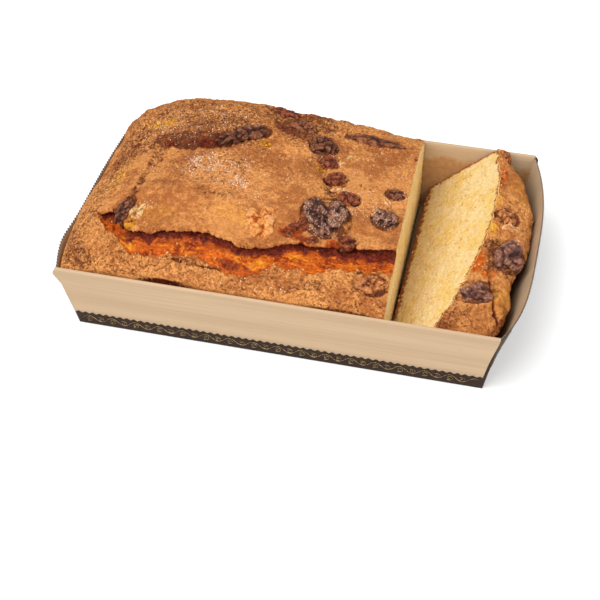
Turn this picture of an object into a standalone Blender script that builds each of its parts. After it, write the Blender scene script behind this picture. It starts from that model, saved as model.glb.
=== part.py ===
"""Walnut sponge loaf in its folded paperboard baking case, part cut.

The loaf has lost its right end to two slices, and its heel leans in the case beside the cut.
X runs along the case, Y across it and Z up; the origin is the middle of the case's underside.
"""

import math

import bmesh
import bpy
from mathutils import Matrix, Vector, noise

# Sizes are in millimetres until a mesh is finished, then scaled to metres
MM = 0.001
SHARP = math.radians(40)
GAP = 0.35                       # clearance between pieces that touch

# Paperboard case
RIM_LENGTH = 204.0
RIM_WIDTH = 134.0
BASE_LENGTH = 192.0
BASE_WIDTH = 122.0
CASE_HEIGHT = 38.0
BOARD = 0.9
RIGHT_BOW = 9.2                  # how far the right end panel's rim bows out of line
LEFT_BOW = 3.6
TOOTH_PITCH = 3.4                # pinked edge of the board
TOOTH_DEPTH = 0.8
END_COLUMNS = 6                  # facets across an end panel, each with its share of the teeth
FLAP_END_HEIGHT = 9.0            # the turned-down flap stops this far above the table
FLAP_TOOTH_DEPTH = 1.2
FLAP_BOARD = 0.8
FLAP_GAP = 0.3                   # the flap hangs this far off the wall
FOLD_RADIUS = 1.05
EAR = 1.8                        # the flap's corner stands out past the fold
TUCK_START = 12.0                # the board dips and tucks in over this length at its left back corner
TUCK_DIP = 2.5

# Loaf
FLOOR = BOARD + GAP              # height of the food's underside
HALF_LOAF = RIM_WIDTH / 2 - GAP
CUT_MIDDLE = 48.4                # the cut face's X half way across
CUT_TURN = 1.9                   # degrees that the knife was off square
CROWN = ((-104, 51), (-86, 56), (-70, 60.5), (-50, 64.6), (-32, 65), (-19, 61), (5, 57.3), (26, 54),
         (50, 51))
SHOULDER_LEFT = 0.42             # the dome's edge is full at the left and soft at the right
SHOULDER_RIGHT = 0.60
END_ROUNDING = 34.0              # the crust falls off over this length at the end
CORNER_ROUNDING = 5.0            # the loaf's left corners stand this far in, and the board tucks in after it
LOAF_COLUMNS = 56
APRON_ROWS = 6                   # front wall to the long split, the split, and the split to the back wall
SPLIT_SHARES = (0.0, 0.12, 0.45, 0.82, 0.955, 1.0)
LID_ROWS = 23

# Long split on the front shoulder: its lower and upper lips as (X, Y), and its height across them
SPLIT_LOWER = ((-92, -39.8), (-87, -46), (-83, -51.5), (-77.5, -55.5), (-74, -59), (-70, -62.3),
               (-62, -62.5), (-48, -61.5), (-39, -60.7), (-31, -63), (-16, -63.6), (-9, -60.5),
               (-3, -57), (15, -57), (23, -52), (48, -48))
SPLIT_UPPER = ((-92, -37.6), (-86.5, -42), (-80, -42.5), (-75, -48), (-70, -53), (-60, -53.5),
               (-50, -52.2), (-40, -50.5), (-30, -51.5), (-20, -52.5), (-9, -50.5), (1, -45),
               (10, -44), (20, -41), (29, -38.5), (40, -36), (48, -33.5))
SPLIT_PROFILE = ((-0.1, 0.0), (0.0, 0.2), (0.12, -1.3), (0.45, -2.7), (0.82, -3.1), (0.955, -2.7),
                 (1.0, 1.0), (1.15, 1.2), (1.6, 0.3), (2.0, 0.0))

# Troughs in the crust as (X, Y, half width, depth): on the crown, down the split's left end,
# and a fold at the right
CREASE = ((-80, 6, 3.0, 0.6), (-68, 9, 4.5, 2.2), (-54, 7, 5.0, 2.8), (-42, 10, 5.5, 2.8),
          (-33, 17, 4.5, 2.0), (-24, 23, 3.0, 0.8))
SIDE_SPLIT = ((-79, -43, 3.0, 1.8), (-75, -34, 2.6, 1.6), (-74, -21, 2.4, 1.1), (-74, -8, 2.4, 0.7),
              (-72, 3, 2.4, 0.5))
FOLD = ((-6, 17, 3.0, 0.8), (4, 11, 3.2, 1.6), (9, 1, 3.2, 1.6), (15, -8, 3.2, 1.8), (22, -18, 3.4, 1.6),
        (26, -27, 3.4, 1.4), (29, -36, 3.4, 1.2))

# Heel: the loaf's end piece, leaning on the case's right end panel. Across it as
# (Y, crust height at the cut face, crust height at the outer shoulder, thickness there)
HEEL_LEAN = 50.0
HEEL_FOOT_X = 50.6               # where the lower edge of its cut face is
HEEL_BASE = 15.0
HEEL_SECTION = ((-66, 25, 40, 18), (-60, 28, 45, 20), (-54, 32, 49, 21.5), (-46, 37, 52, 22),
                (-37, 39.5, 52.5, 22), (-28, 42, 52, 20.5), (-15, 45.5, 54, 21), (-3, 49, 57, 22.5),
                (10, 49, 57.5, 23), (24, 49.5, 57.5, 22.5), (32, 49.3, 56.5, 21), (40, 48.5, 55, 18),
                (50, 46, 51.5, 14), (60, 43.5, 47.5, 9), (66, 41.5, 43, 6))
HEEL_CRACK = ((4.5, -21, 2.0, 1.0), (10.8, -29, 2.4, 1.8), (18, -37.5, 2.4, 1.8), (21.5, -46, 2.4, 1.2))
HEEL_COLUMNS = 14
HEEL_ROWS = 32

# Walnuts: name, X, Y, length, width, thickness, the long axis's turn from X, and how deep the middle sits
LOAF_WALNUTS = (
    ("walnut_split_end", -72.5, -42.8, 17, 11, 9, 80, 0.8),
    ("walnut_crown_long", -35.3, 18.4, 26, 9, 8, 32, 0.3),
    ("walnut_back_ridge", -21.0, 48.5, 17, 8, 7, 4, 0.4),
    ("walnut_back_brown", -10.5, 39.0, 14, 10, 8, -20, 1.0),
    ("walnut_crown_dark", 2.5, 26.0, 13, 13, 10, 25, 0.2),
    ("walnut_chip_a", 7.8, 15.4, 9, 8, 6, 25, 0.2),
    ("walnut_chip_b", 13.6, 3.4, 10, 8, 7, 20, 0.2),
    ("walnut_chip_c", 22.0, -8.4, 10, 9, 7, 5, 0.2),
    ("walnut_heart", 14.8, -24.0, 23, 24, 12, 96, 0.4),
    ("walnut_split_chip", 27.6, -36.6, 8, 7, 7, 20, 0.4),
    ("walnut_edge_chip", 42.3, 3.4, 9, 7, 6, 18, 0.8),
    ("walnut_edge", 41.2, -15.2, 13, 13, 9, 60, 0.7),
    ("walnut_front", 41.6, -54.6, 14, 10, 8, -6, 1.4),
    ("walnut_back_long", 23.4, 42.4, 31, 9, 8, 6, 1.2),
    ("walnut_veiled", -12.8, -37.4, 20, 15, 8, 115, 1.6),
)
HEEL_WALNUTS = (
    ("walnut_heel_big", 12.2, -12.0, 18, 16, 11, 40, 0.2),
    ("walnut_heel_cut", 5.6, -38.5, 15, 11, 10, 40, 1.2),
    ("walnut_heel_small", 6.2, 11.0, 11, 9, 7, 30, 1.0),
)
NUT_SEGMENTS = 12
NUT_RINGS = 7

CRUST = (0.60, 0.31, 0.12)
WALNUT = (0.13, 0.060, 0.035)
WALNUT_RED = (0.26, 0.085, 0.045)
BOARD_COLOUR = (0.70, 0.53, 0.34)


def clear_scene():
    for obj in list(bpy.data.objects):
        bpy.data.objects.remove(obj, do_unlink=True)


def new_collection(name):
    found = bpy.data.collections.new(name)
    bpy.context.scene.collection.children.link(found)
    return found


def plain_material(name, colour, roughness):
    material = bpy.data.materials.new(name)
    material.use_nodes = True
    shader = material.node_tree.nodes["Principled BSDF"]
    shader.inputs["Base Color"].default_value = (*colour, 1.0)
    shader.inputs["Roughness"].default_value = roughness
    shader.inputs["Metallic"].default_value = 0.0
    return material


def object_from(bm, name, collection, material=None):
    mesh = bpy.data.meshes.new(name)
    bmesh.ops.recalc_face_normals(bm, faces=bm.faces)
    bm.to_mesh(mesh)
    bm.free()
    mesh.transform(Matrix.Scale(MM, 4))
    mesh.shade_smooth()
    mesh.set_sharp_from_angle(angle=SHARP)
    obj = bpy.data.objects.new(name, mesh)
    collection.objects.link(obj)
    if material:
        mesh.materials.append(material)
    return obj


def apply_modifiers(obj):
    """The object's mesh becomes what its modifiers make of it."""
    evaluated = obj.evaluated_get(bpy.context.evaluated_depsgraph_get())
    made = bpy.data.meshes.new_from_object(evaluated)
    obj.modifiers.clear()
    obj.data = made


def boolean_with(obj, operation, others):
    """Joins or cuts the object with everything in a collection, then empties the collection."""
    step = obj.modifiers.new(others.name, "BOOLEAN")
    step.operation = operation
    step.operand_type = "COLLECTION"
    step.collection = others
    step.solver = "EXACT"
    apply_modifiers(obj)
    for other in list(others.objects):
        bpy.data.objects.remove(other, do_unlink=True)


def clamp01(value):
    return min(1.0, max(0.0, value))


def smooth(low, high, value):
    t = clamp01((value - low) / (high - low))
    return t * t * (3 - 2 * t)


def reading(points, x, item=1):
    """The points' given item at x, on straight lines between them; the points ascend in x."""
    if x <= points[0][0]:
        return points[0][item]
    for a, b in zip(points, points[1:]):
        if x <= b[0]:
            return a[item] + (b[item] - a[item]) * (x - a[0]) / (b[0] - a[0])
    return points[-1][item]


def trough(path, x, y):
    """Depth at (x, y) of a trough that follows a path of (X, Y, half width, depth)."""
    deepest = 0.0
    for a, b in zip(path, path[1:]):
        run_x, run_y = b[0] - a[0], b[1] - a[1]
        t = clamp01(((x - a[0]) * run_x + (y - a[1]) * run_y) / (run_x ** 2 + run_y ** 2))
        away = math.hypot(x - a[0] - run_x * t, y - a[1] - run_y * t)
        half = a[2] + (b[2] - a[2]) * t
        depth = a[3] + (b[3] - a[3]) * t
        deepest = max(deepest, depth * (1 - smooth(0.1 * half, half, away)))
    return deepest


def case_half_width(z):
    return (BASE_WIDTH + (RIM_WIDTH - BASE_WIDTH) * z / CASE_HEIGHT) / 2


def case_half_length(z):
    return (BASE_LENGTH + (RIM_LENGTH - BASE_LENGTH) * z / CASE_HEIGHT) / 2


def end_bow(y, z, bow):
    """How far an end panel bows out: nothing at the base and the corners, most at the rim's middle."""
    return bow * (1 - min(1.0, abs(y) / case_half_width(z)) ** 2) * z / CASE_HEIGHT


def corner_tuck(y, z):
    """Share of the left end's tuck at (y, z): all of it at the rim's back corner, none at two thirds."""
    return clamp01(3 * y / case_half_width(z) - 2) * z / CASE_HEIGHT


def case_ring(z, steps, tooth_depth):
    """Points round the case's inner surface at height z, anticlockwise from its right front corner."""
    half_x = case_half_length(z)
    points = []
    for side, bow in ((1, RIGHT_BOW), (-1, LEFT_BOW)):
        for i in range(steps + 1):
            share = side * (2 * i / steps - 1)
            y = share * case_half_width(z)
            tuck = corner_tuck(y, z) if side < 0 else 0.0
            lowered = z - TUCK_DIP * tuck
            points.append((side * (half_x + end_bow(y, z, bow) - CORNER_ROUNDING * tuck),
                           share * case_half_width(lowered), lowered - tooth_depth * (i % 2)))
    return points


def make_tray(collection, material):
    """The case's floor and walls: a straight base lofted to the bowed and pinked rim, then thickened."""
    steps = 2 * round(RIM_WIDTH / TOOTH_PITCH)
    share = steps // END_COLUMNS
    bm = bmesh.new()
    low = [bm.verts.new(p) for p in case_ring(BOARD, END_COLUMNS, 0.0)]
    high = [bm.verts.new(p) for p in case_ring(CASE_HEIGHT, steps, TOOTH_DEPTH)]
    for end in (0, 1):
        foot = end * (END_COLUMNS + 1)
        rim = end * (steps + 1)
        for i in range(END_COLUMNS):
            teeth = high[rim + i * share:rim + (i + 1) * share + 1]
            bm.faces.new([low[foot + i], low[foot + i + 1]] + teeth[::-1])
        wall = [low[foot + END_COLUMNS], low[(foot + END_COLUMNS + 1) % len(low)],
                high[(rim + steps + 1) % len(high)], high[rim + steps]]
        if end == 0:
            wall.insert(3, bm.verts.new((TUCK_START - RIM_LENGTH / 2, RIM_WIDTH / 2, CASE_HEIGHT)))
        bm.faces.new(wall)
    bm.faces.new(low)
    tray = object_from(bm, "case", collection, material)
    board = tray.modifiers.new("board", "SOLIDIFY")
    board.thickness = BOARD * MM
    board.offset = 1.0
    board.use_even_offset = True
    return tray


def flap_outline(side):
    """The turned-down flap, flat, with the fold along X and its pinked edge below."""
    slope = math.atan2((RIM_WIDTH - BASE_WIDTH) / 2, CASE_HEIGHT)
    drop = (CASE_HEIGHT - FLAP_END_HEIGHT) / math.cos(slope)
    top = RIM_LENGTH / 2 - 0.6
    far = top - TUCK_START if side > 0 else top
    bottom = case_half_length(FLAP_END_HEIGHT) - 0.4
    teeth = round(2 * bottom / TOOTH_PITCH)
    start = -FOLD_RADIUS
    outline = [(far, start), (far + 0.6, start - 0.8), (top - 0.2, -4.0)]
    for i in range(2 * teeth + 1):
        worn = 0.25 * noise.noise(Vector((i * 0.83, 2.0, 0.5)))
        outline.append((bottom - bottom * i / teeth, -drop + FLAP_TOOTH_DEPTH * (i % 2) + worn))
    outline += [(-top + 1.6, -9.0), (-top - EAR * 0.7, -5.5), (-top - EAR, -2.4), (-top, start)]
    return outline, slope


def make_flap(side, collection):
    """One long side's flap, laid against the wall outside."""
    outline, slope = flap_outline(side)
    bm = bmesh.new()
    front = [bm.verts.new((x, y, FLAP_BOARD / 2)) for x, y in outline]
    face = bm.faces.new(front)
    made = bmesh.ops.extrude_face_region(bm, geom=[face])["geom"]
    behind = [g for g in made if isinstance(g, bmesh.types.BMVert)]
    bmesh.ops.translate(bm, vec=(0, 0, -FLAP_BOARD), verts=behind)
    outward = RIM_WIDTH / 2 + FLAP_GAP + (BOARD + FLAP_BOARD / 2) / math.cos(slope)
    place = (Matrix.Rotation(0 if side < 0 else math.pi, 4, "Z")
             @ Matrix.Translation((0, -outward, CASE_HEIGHT))
             @ Matrix.Rotation(math.pi / 2 + slope, 4, "X"))
    bmesh.ops.transform(bm, matrix=place, verts=bm.verts)
    return object_from(bm, "flap", collection)


def make_fold(side, collection):
    """The rounded fold that joins a long wall to its flap, short of the tucked corner."""
    short = TUCK_START if side > 0 else 0.0
    bm = bmesh.new()
    bmesh.ops.create_cone(bm, cap_ends=True, segments=10, radius1=FOLD_RADIUS, radius2=FOLD_RADIUS,
                          depth=RIM_LENGTH + 0.4 - short)
    middle = (short / 2, side * (RIM_WIDTH / 2 + FOLD_RADIUS), CASE_HEIGHT - FOLD_RADIUS + 0.1)
    place = Matrix.Translation(middle) @ Matrix.Rotation(math.pi / 2, 4, "Y")
    bmesh.ops.transform(bm, matrix=place, verts=bm.verts)
    return object_from(bm, "fold", collection)


def make_case(parts, cutters, material):
    tray = make_tray(parts, material)
    apply_modifiers(tray)
    joined = bpy.data.collections.new("flaps")
    cutters.children.link(joined)
    for side in (-1, 1):
        make_flap(side, joined)
        make_fold(side, joined)
    boolean_with(tray, "UNION", joined)
    return tray


def cut_x(y):
    return CUT_MIDDLE - math.tan(math.radians(CUT_TURN)) * y


def loaf_left(y, z=CASE_HEIGHT):
    """The loaf's left edge at a height, against the bowed end panel, with rounded corners."""
    rounding = min(1.0, abs(y) / HALF_LOAF) ** 10
    behind_tuck = 1.3 * clamp01(3 * y / HALF_LOAF - 1.85)
    inward = CORNER_ROUNDING * max(rounding, behind_tuck)
    return GAP - case_half_length(z) - end_bow(y, z, LEFT_BOW) + inward


def crust_edge(x):
    """Height at which the crust leaves the case's long wall."""
    return CASE_HEIGHT - 0.5 + 0.9 * noise.noise(Vector((x * 0.05, 3.1, 0.0)))


def dome(x, y):
    """The loaf's rounded top without its splits and crags."""
    across = min(1.0, abs(y) / HALF_LOAF)
    full = SHOULDER_LEFT + (SHOULDER_RIGHT - SHOULDER_LEFT) * clamp01((x + 50) / 96)
    arch = (1 - across ** 3) ** full
    fall = (1 - (1 - clamp01((x - loaf_left(y)) / END_ROUNDING)) ** 2.6) ** 0.55
    return crust_edge(x) + (reading(CROWN, x) - crust_edge(x)) * arch * fall


def crags(x, y):
    """Gentle unevenness of the baked crust."""
    slow = noise.noise(Vector((x * 0.035, y * 0.05, 1.7)))
    quick = noise.noise(Vector((x * 0.14, y * 0.14, 5.2)))
    return 1.3 * slow + 0.5 * quick


def torn(x, seed):
    """Ragged sideways wander of a torn lip."""
    slow = noise.noise(Vector((x * 0.22, 0.0, seed)))
    quick = noise.noise(Vector((x * 0.5, 0.0, seed + 5)))
    return 0.9 * slow + 0.5 * quick


def split_lips(x):
    return reading(SPLIT_LOWER, x) + torn(x, 9.0), reading(SPLIT_UPPER, x) + torn(x, 4.0)


def loaf_height(x, y):
    low, high = split_lips(x)
    split = reading(SPLIT_PROFILE, (y - low) / (high - low)) * smooth(-93, -86, x)
    sunk = trough(CREASE, x, y) + trough(SIDE_SPLIT, x, y) + trough(FOLD, x, y)
    inward = smooth(0.0, 6.0, HALF_LOAF - abs(y)) * smooth(0.0, 5.0, x - loaf_left(y))
    return dome(x, y) + (crags(x, y) - sunk) * inward + split * smooth(0.0, 2.5, HALF_LOAF - abs(y))


def row_y(x, row):
    """Y of a grid row at x: the rows bunch along the split's two lips and at the long walls."""
    low, high = split_lips(x)
    low = max(low, -HALF_LOAF + 1.5)
    if row <= APRON_ROWS:
        return -HALF_LOAF + (low + HALF_LOAF) * (row / APRON_ROWS) ** 1.3
    row -= APRON_ROWS
    if row < len(SPLIT_SHARES):
        return low + (high - low) * SPLIT_SHARES[row]
    share = (row - len(SPLIT_SHARES) + 1) / LID_ROWS
    return high + (HALF_LOAF - high) * (0.35 * share + 0.65 * math.sin(share * math.pi / 2))


LOAF_ROWS = APRON_ROWS + len(SPLIT_SHARES) - 1 + LID_ROWS


def loaf_plan(u, v):
    """Plan position for grid shares u along and v across, both from -1 to 1."""
    row = round((v + 1) / 2 * LOAF_ROWS)
    share = 0.6 * (u + 1) / 2 + 0.4 * ((u + 1) / 2) ** 2
    y = HALF_LOAF * v
    for _ in range(3):
        x = loaf_left(y) + (cut_x(y) - loaf_left(y)) * share
        y = row_y(x, row)
    return x, y, share


def food_body(columns, rows, top_point, foot_point):
    """A closed body: a square grid becomes its crust, and the grid's rim is drawn down to the underside."""
    bm = bmesh.new()
    bmesh.ops.create_grid(bm, x_segments=columns, y_segments=rows, size=1.0)
    crust = list(bm.verts)
    made = bmesh.ops.extrude_edge_only(bm, edges=[e for e in bm.edges if e.is_boundary])["geom"]
    bmesh.ops.contextual_create(bm, geom=[g for g in made if isinstance(g, bmesh.types.BMEdge)])
    for v in bm.verts:
        v.co = (v.co.x, v.co.y, 1.0)
    for v in (g for g in made if isinstance(g, bmesh.types.BMVert)):
        v.co.z = 0.0
    for v in bm.verts:
        v.co = (top_point if v.co.z > 0.5 else foot_point)(v.co.x, v.co.y)
    return bm


def loaf_top_point(u, v):
    x, y, _ = loaf_plan(u, v)
    return Vector((x, y, loaf_height(x, y)))


def loaf_foot_point(u, v):
    _, y, share = loaf_plan(u, v)
    y *= (case_half_width(FLOOR) - GAP) / HALF_LOAF
    left = loaf_left(y, FLOOR)
    return Vector((left + (cut_x(y) - left) * share, y, FLOOR))


def heel_height(x, y):
    """The heel's crust in its upright frame, where x runs from its cut face to the loaf's end."""
    thick = reading(HEEL_SECTION, y, 3)
    share = clamp01(x / thick)
    rise = reading(HEEL_SECTION, y, 1) * (1 - share) + reading(HEEL_SECTION, y, 2) * share
    bulge = 1.5 * math.sin(share * math.pi) - 3.0 * share ** 6
    return rise + bulge + 0.8 * crags(x + 70, y * 1.6) - trough(HEEL_CRACK, x, y)


def heel_place():
    """From the heel's upright frame to where it leans, its outer lower edge on the case's floor."""
    lean = math.radians(HEEL_LEAN)
    lift = FLOOR + HEEL_BASE * math.sin(lean)
    return Matrix.Translation((HEEL_FOOT_X, 0, lift)) @ Matrix.Rotation(lean, 4, "Y")


def heel_leaned(x, y, z):
    """A point of the upright heel where it leans, pressed within the case."""
    spot = heel_place() @ Vector((x, y, z))
    height = min(spot.z, CASE_HEIGHT)
    spot.y *= (case_half_width(height) - GAP) / HALF_LOAF
    spot.x = min(spot.x, case_half_length(height) + end_bow(spot.y, height, RIGHT_BOW) - GAP)
    return spot


def heel_top_point(u, v):
    y = HALF_LOAF * math.sin(v * math.pi / 2)
    x = reading(HEEL_SECTION, y, 3) * math.sin((u + 1) / 2 * math.pi / 2)
    return heel_leaned(x, y, heel_height(x, y))


def heel_foot_point(u, v):
    x = HEEL_BASE * math.sin((u + 1) / 2 * math.pi / 2)
    return heel_leaned(x, HALF_LOAF * math.sin(v * math.pi / 2), 0.0)


def make_loaf(collection, material):
    bm = food_body(LOAF_COLUMNS, LOAF_ROWS, loaf_top_point, loaf_foot_point)
    return object_from(bm, "loaf", collection, material)


def make_heel(collection, material):
    bm = food_body(HEEL_COLUMNS, HEEL_ROWS, heel_top_point, heel_foot_point)
    return object_from(bm, "heel", collection, material)


def kernel(size, seed, grow):
    """A walnut kernel: two lobes beside a groove along X, knobbly, with a notch at one end."""
    bm = bmesh.new()
    bmesh.ops.create_uvsphere(bm, u_segments=NUT_SEGMENTS, v_segments=NUT_RINGS, radius=1.0)
    for v in bm.verts:
        p = v.co.copy()
        folds = 0.20 * noise.noise(p * 2.1 + Vector((seed * 7.3, 0, 0)))
        groove = 0.24 * math.exp(-(p.y / 0.25) ** 2) * max(0.0, 0.3 + p.z)
        notch = 0.16 * math.exp(-(p.y / 0.30) ** 2) * max(0.0, p.x)
        p *= 1 + folds - groove - notch
        p = Vector(a * b / 2 for a, b in zip(p, size))
        v.co = p + p.normalized() * grow
    bmesh.ops.triangulate(bm, faces=bm.faces, quad_method="FIXED")
    return bm


def crust_frame(height, x, y, turn, sink):
    """Where a kernel sits: Z along the crust's normal, X turned from the loaf's length."""
    step = 2.5
    run = (height(x + step, y) - height(x - step, y)) / (2 * step)
    rise = (height(x, y + step) - height(x, y - step)) / (2 * step)
    normal = Vector((-run, -rise, 1.0)).normalized()
    length = (Vector((1, 0, 0)) - normal * normal.x).normalized()
    axes = Matrix((length, normal.cross(length), normal)).transposed().to_4x4()
    spot = Vector((x, y, height(x, y))) - normal * sink
    return Matrix.Translation(spot) @ axes @ Matrix.Rotation(math.radians(turn), 4, "Z")


def make_walnuts(table, height, frame, collection, pockets, materials):
    """The kernels of a table, and a slightly larger copy of each in the pockets collection."""
    for seed, (name, x, y, length, width, thickness, turn, sink) in enumerate(table, 3):
        place = frame @ crust_frame(height, x, y, turn, sink)
        own = materials["walnut_red" if "chip" in name or "back" in name else "walnut"]
        for grow, where, material in ((0.0, collection, own), (1.2 * GAP, pockets, None)):
            bm = kernel((length, width, thickness), seed, grow)
            bmesh.ops.transform(bm, matrix=place, verts=bm.verts)
            object_from(bm, name if material else "pocket", where, material)


def main():
    clear_scene()
    parts = new_collection("walnut_sponge_loaf")
    cutters = new_collection("cutters")
    cutters.hide_render = True
    materials = {
        "crust": plain_material("crust", CRUST, 0.75),
        "walnut": plain_material("walnut", WALNUT, 0.55),
        "walnut_red": plain_material("walnut_red", WALNUT_RED, 0.5),
        "board": plain_material("board", BOARD_COLOUR, 0.8),
    }
    make_case(parts, cutters, materials["board"])
    loaf = make_loaf(parts, materials["crust"])
    heel = make_heel(parts, materials["crust"])
    for body, table, height, frame in ((loaf, LOAF_WALNUTS, loaf_height, Matrix.Identity(4)),
                                       (heel, HEEL_WALNUTS, heel_height, heel_place())):
        pockets = bpy.data.collections.new(body.name + "_pockets")
        cutters.children.link(pockets)
        make_walnuts(table, height, frame, parts, pockets, materials)
        boolean_with(body, "DIFFERENCE", pockets)


main()
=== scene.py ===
import math

import bmesh
import bpy
import numpy as np
from mathutils import Matrix, Vector, noise


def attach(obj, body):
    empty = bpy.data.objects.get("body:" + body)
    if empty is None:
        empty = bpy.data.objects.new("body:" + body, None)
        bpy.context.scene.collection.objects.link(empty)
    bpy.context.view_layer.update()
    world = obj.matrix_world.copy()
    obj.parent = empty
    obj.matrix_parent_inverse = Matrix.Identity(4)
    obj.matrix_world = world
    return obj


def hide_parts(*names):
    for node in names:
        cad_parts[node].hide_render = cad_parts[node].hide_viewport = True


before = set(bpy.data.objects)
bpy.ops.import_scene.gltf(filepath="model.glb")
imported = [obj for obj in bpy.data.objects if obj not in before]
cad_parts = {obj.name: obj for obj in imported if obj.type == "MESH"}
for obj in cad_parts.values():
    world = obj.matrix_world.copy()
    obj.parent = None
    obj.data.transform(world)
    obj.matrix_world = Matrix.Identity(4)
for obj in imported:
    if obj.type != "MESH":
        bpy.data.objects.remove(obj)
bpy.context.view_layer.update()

# Sizes are in millimetres; finished meshes are scaled to metres
mm = 0.001
scene = bpy.context.scene

caseSize = dict(rimLength=204.0, rimWidth=134.0, baseLength=192.0, baseWidth=122.0, height=38.0, rightBow=9.2,
                leftBow=3.6, toothPitch=3.4, rimPitch=2.0, toothDepth=0.8, flapFoot=9.0, flapToothDepth=1.2,
                board=0.6, foldRadius=0.85, ear=1.8, tuckStart=12.0, tuckDip=2.5, tuckIn=5.0)
gap = 0.35
floorHeight = 1.25
halfLoaf = caseSize["rimWidth"] / 2 - gap


# Shared numbers and small helpers

def clamp01(value):
    return min(1.0, max(0.0, value))


def smooth(low, high, value):
    t = clamp01((value - low) / (high - low))
    return t * t * (3 - 2 * t)


def reading(points, x, item=1):
    # straight lines between points that ascend in x
    if x <= points[0][0]:
        return points[0][item]
    for a, b in zip(points, points[1:]):
        if x <= b[0]:
            return a[item] + (b[item] - a[item]) * (x - a[0]) / (b[0] - a[0])
    return points[-1][item]


def wander(x, y=0.0, z=0.0):
    return noise.noise(Vector((x, y, z)))


def ripple(x, y, pitch, seed):
    # noise of one pitch along X and Y
    return wander(x * pitch, y * pitch, seed)


def layered(x, y, layers):
    # several ripples (height, pitch, seed) in one
    return sum(height * ripple(x, y, pitch, seed) for height, pitch, seed in layers)


def jogged(x, y, by, seed):
    # the spot moved a little aside, for torn edges
    return x + by * ripple(x, y, 0.5, seed), y + by * ripple(x, y, 0.5, seed + 1)


def trough(path, x, y):
    # depth at (x, y) of a trough along (X, Y, half width, depth)
    deepest = 0.0
    for a, b in zip(path, path[1:]):
        runX, runY = b[0] - a[0], b[1] - a[1]
        t = clamp01(((x - a[0]) * runX + (y - a[1]) * runY) / (runX ** 2 + runY ** 2))
        away = math.hypot(x - a[0] - runX * t, y - a[1] - runY * t)
        half = a[2] + (b[2] - a[2]) * t
        depth = a[3] + (b[3] - a[3]) * t
        deepest = max(deepest, depth * (1 - smooth(0.1 * half, half, away)))
    return deepest


def patches(table, x, y):
    # strongest of the soft patches (X, Y, half length, half width, amount) at (x, y)
    most = 0.0
    for px, py, rx, ry, amount in table:
        away = math.hypot((x - px) / rx, (y - py) / ry)
        most = max(most, amount * (1 - smooth(0.55, 1.25, away)))
    return most


def put(name, data):
    obj = bpy.data.objects.new(name, data)
    scene.collection.objects.link(obj)
    return obj


def evaluatedMesh(obj):
    return bpy.data.meshes.new_from_object(obj.evaluated_get(bpy.context.evaluated_depsgraph_get()))


def rideRoot(obj, *nodes):
    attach(obj, "root")
    if nodes:
        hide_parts(*nodes)
    return obj


def meshFrom(name, spots, faces, finishes=None):
    mesh = bpy.data.meshes.new(name)
    mesh.from_pydata([tuple(p) for p in spots], [], faces)
    if finishes is not None:
        mesh.polygons.foreach_set("material_index", finishes)
    return mesh


def objectFrom(mesh, materials):
    # outward normals, soft shading, and metres; an edge between two finishes stays crisp
    bm = bmesh.new()
    bm.from_mesh(mesh)
    bmesh.ops.recalc_face_normals(bm, faces=bm.faces)
    for edge in bm.edges:
        finishes = [face.material_index for face in edge.link_faces]
        if len(finishes) == 2 and finishes[0] != finishes[1]:
            edge.smooth = False
    bm.to_mesh(mesh)
    bm.free()
    mesh.transform(Matrix.Scale(mm, 4))
    mesh.polygons.foreach_set("use_smooth", [True] * len(mesh.polygons))
    obj = put(mesh.name, mesh)
    for material in materials:
        mesh.materials.append(material)
    return obj


def mark(mesh, name, values):
    layer = mesh.attributes.new(name, "FLOAT", "POINT")
    layer.data.foreach_set("value", np.asarray(values, dtype=np.float32))


# Node helpers: all of them build in the tree opened last

openTrees = []


def fill(made, inputs):
    for key, value in inputs.items():
        if isinstance(value, bpy.types.NodeSocket):
            openTrees[-1].links.new(value, made.inputs[key])
        else:
            made.inputs[key].default_value = value
    return made.outputs


def add(kind, inputs=None, out=0, **settings):
    made = openTrees[-1].nodes.new(kind)
    for key, value in settings.items():
        setattr(made, key, value)
    return fill(made, inputs or {})[out]


def colour(value):
    return (*value, 1.0) if isinstance(value, tuple) and len(value) == 3 else value


def blend(share, a, b, how="MIX"):
    return add("ShaderNodeMix", {0: share, 6: colour(a), 7: colour(b)}, out=2, data_type="RGBA",
               blend_type=how)


def calc(operation, a, b=0.0, clamp=False):
    return add("ShaderNodeMath", {0: a, 1: b}, operation=operation, use_clamp=clamp)


def times(a, b, clamp=False):
    return calc("MULTIPLY", a, b, clamp)


def plus(a, b, clamp=False):
    return calc("ADD", a, b, clamp)


def minus(a, b):
    return calc("SUBTRACT", a, b)


def span(value, low, high, toLow=0.0, toHigh=1.0):
    return add("ShaderNodeMapRange", {0: value, 1: low, 2: high, 3: toLow, 4: toHigh},
               interpolation_type="SMOOTHSTEP")


def cloud(spot, scale, detail=3.0, roughness=0.55, distortion=0.0):
    return add("ShaderNodeTexNoise", {"Vector": spot, "Scale": scale, "Detail": detail,
                                      "Roughness": roughness, "Distortion": distortion})


def dots(spot, scale, full, clear):
    # round dots of a cell pattern, 1 inside and 0 outside
    return span(add("ShaderNodeTexVoronoi", {"Vector": spot, "Scale": scale}), full, clear, 1.0, 0.0)


def millimetres(source="Object", stretch=(1000.0, 1000.0, 1000.0)):
    where = add("ShaderNodeTexCoord", out=source)
    return add("ShaderNodeVectorMath", {0: where, 1: stretch}, operation="MULTIPLY")


def marked(name):
    return add("ShaderNodeAttribute", out="Fac", attribute_name=name)


def bump(height, depth, strength=1.0):
    return add("ShaderNodeBump", {"Height": height, "Distance": depth * mm, "Strength": strength})


def newMaterial(name, **constants):
    material = bpy.data.materials.new(name)
    material.use_nodes = True
    shader = material.node_tree.nodes["Principled BSDF"]
    for key, value in constants.items():
        shader.inputs[key.replace("_", " ")].default_value = value
    openTrees.append(material.node_tree)
    return material, shader


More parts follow.
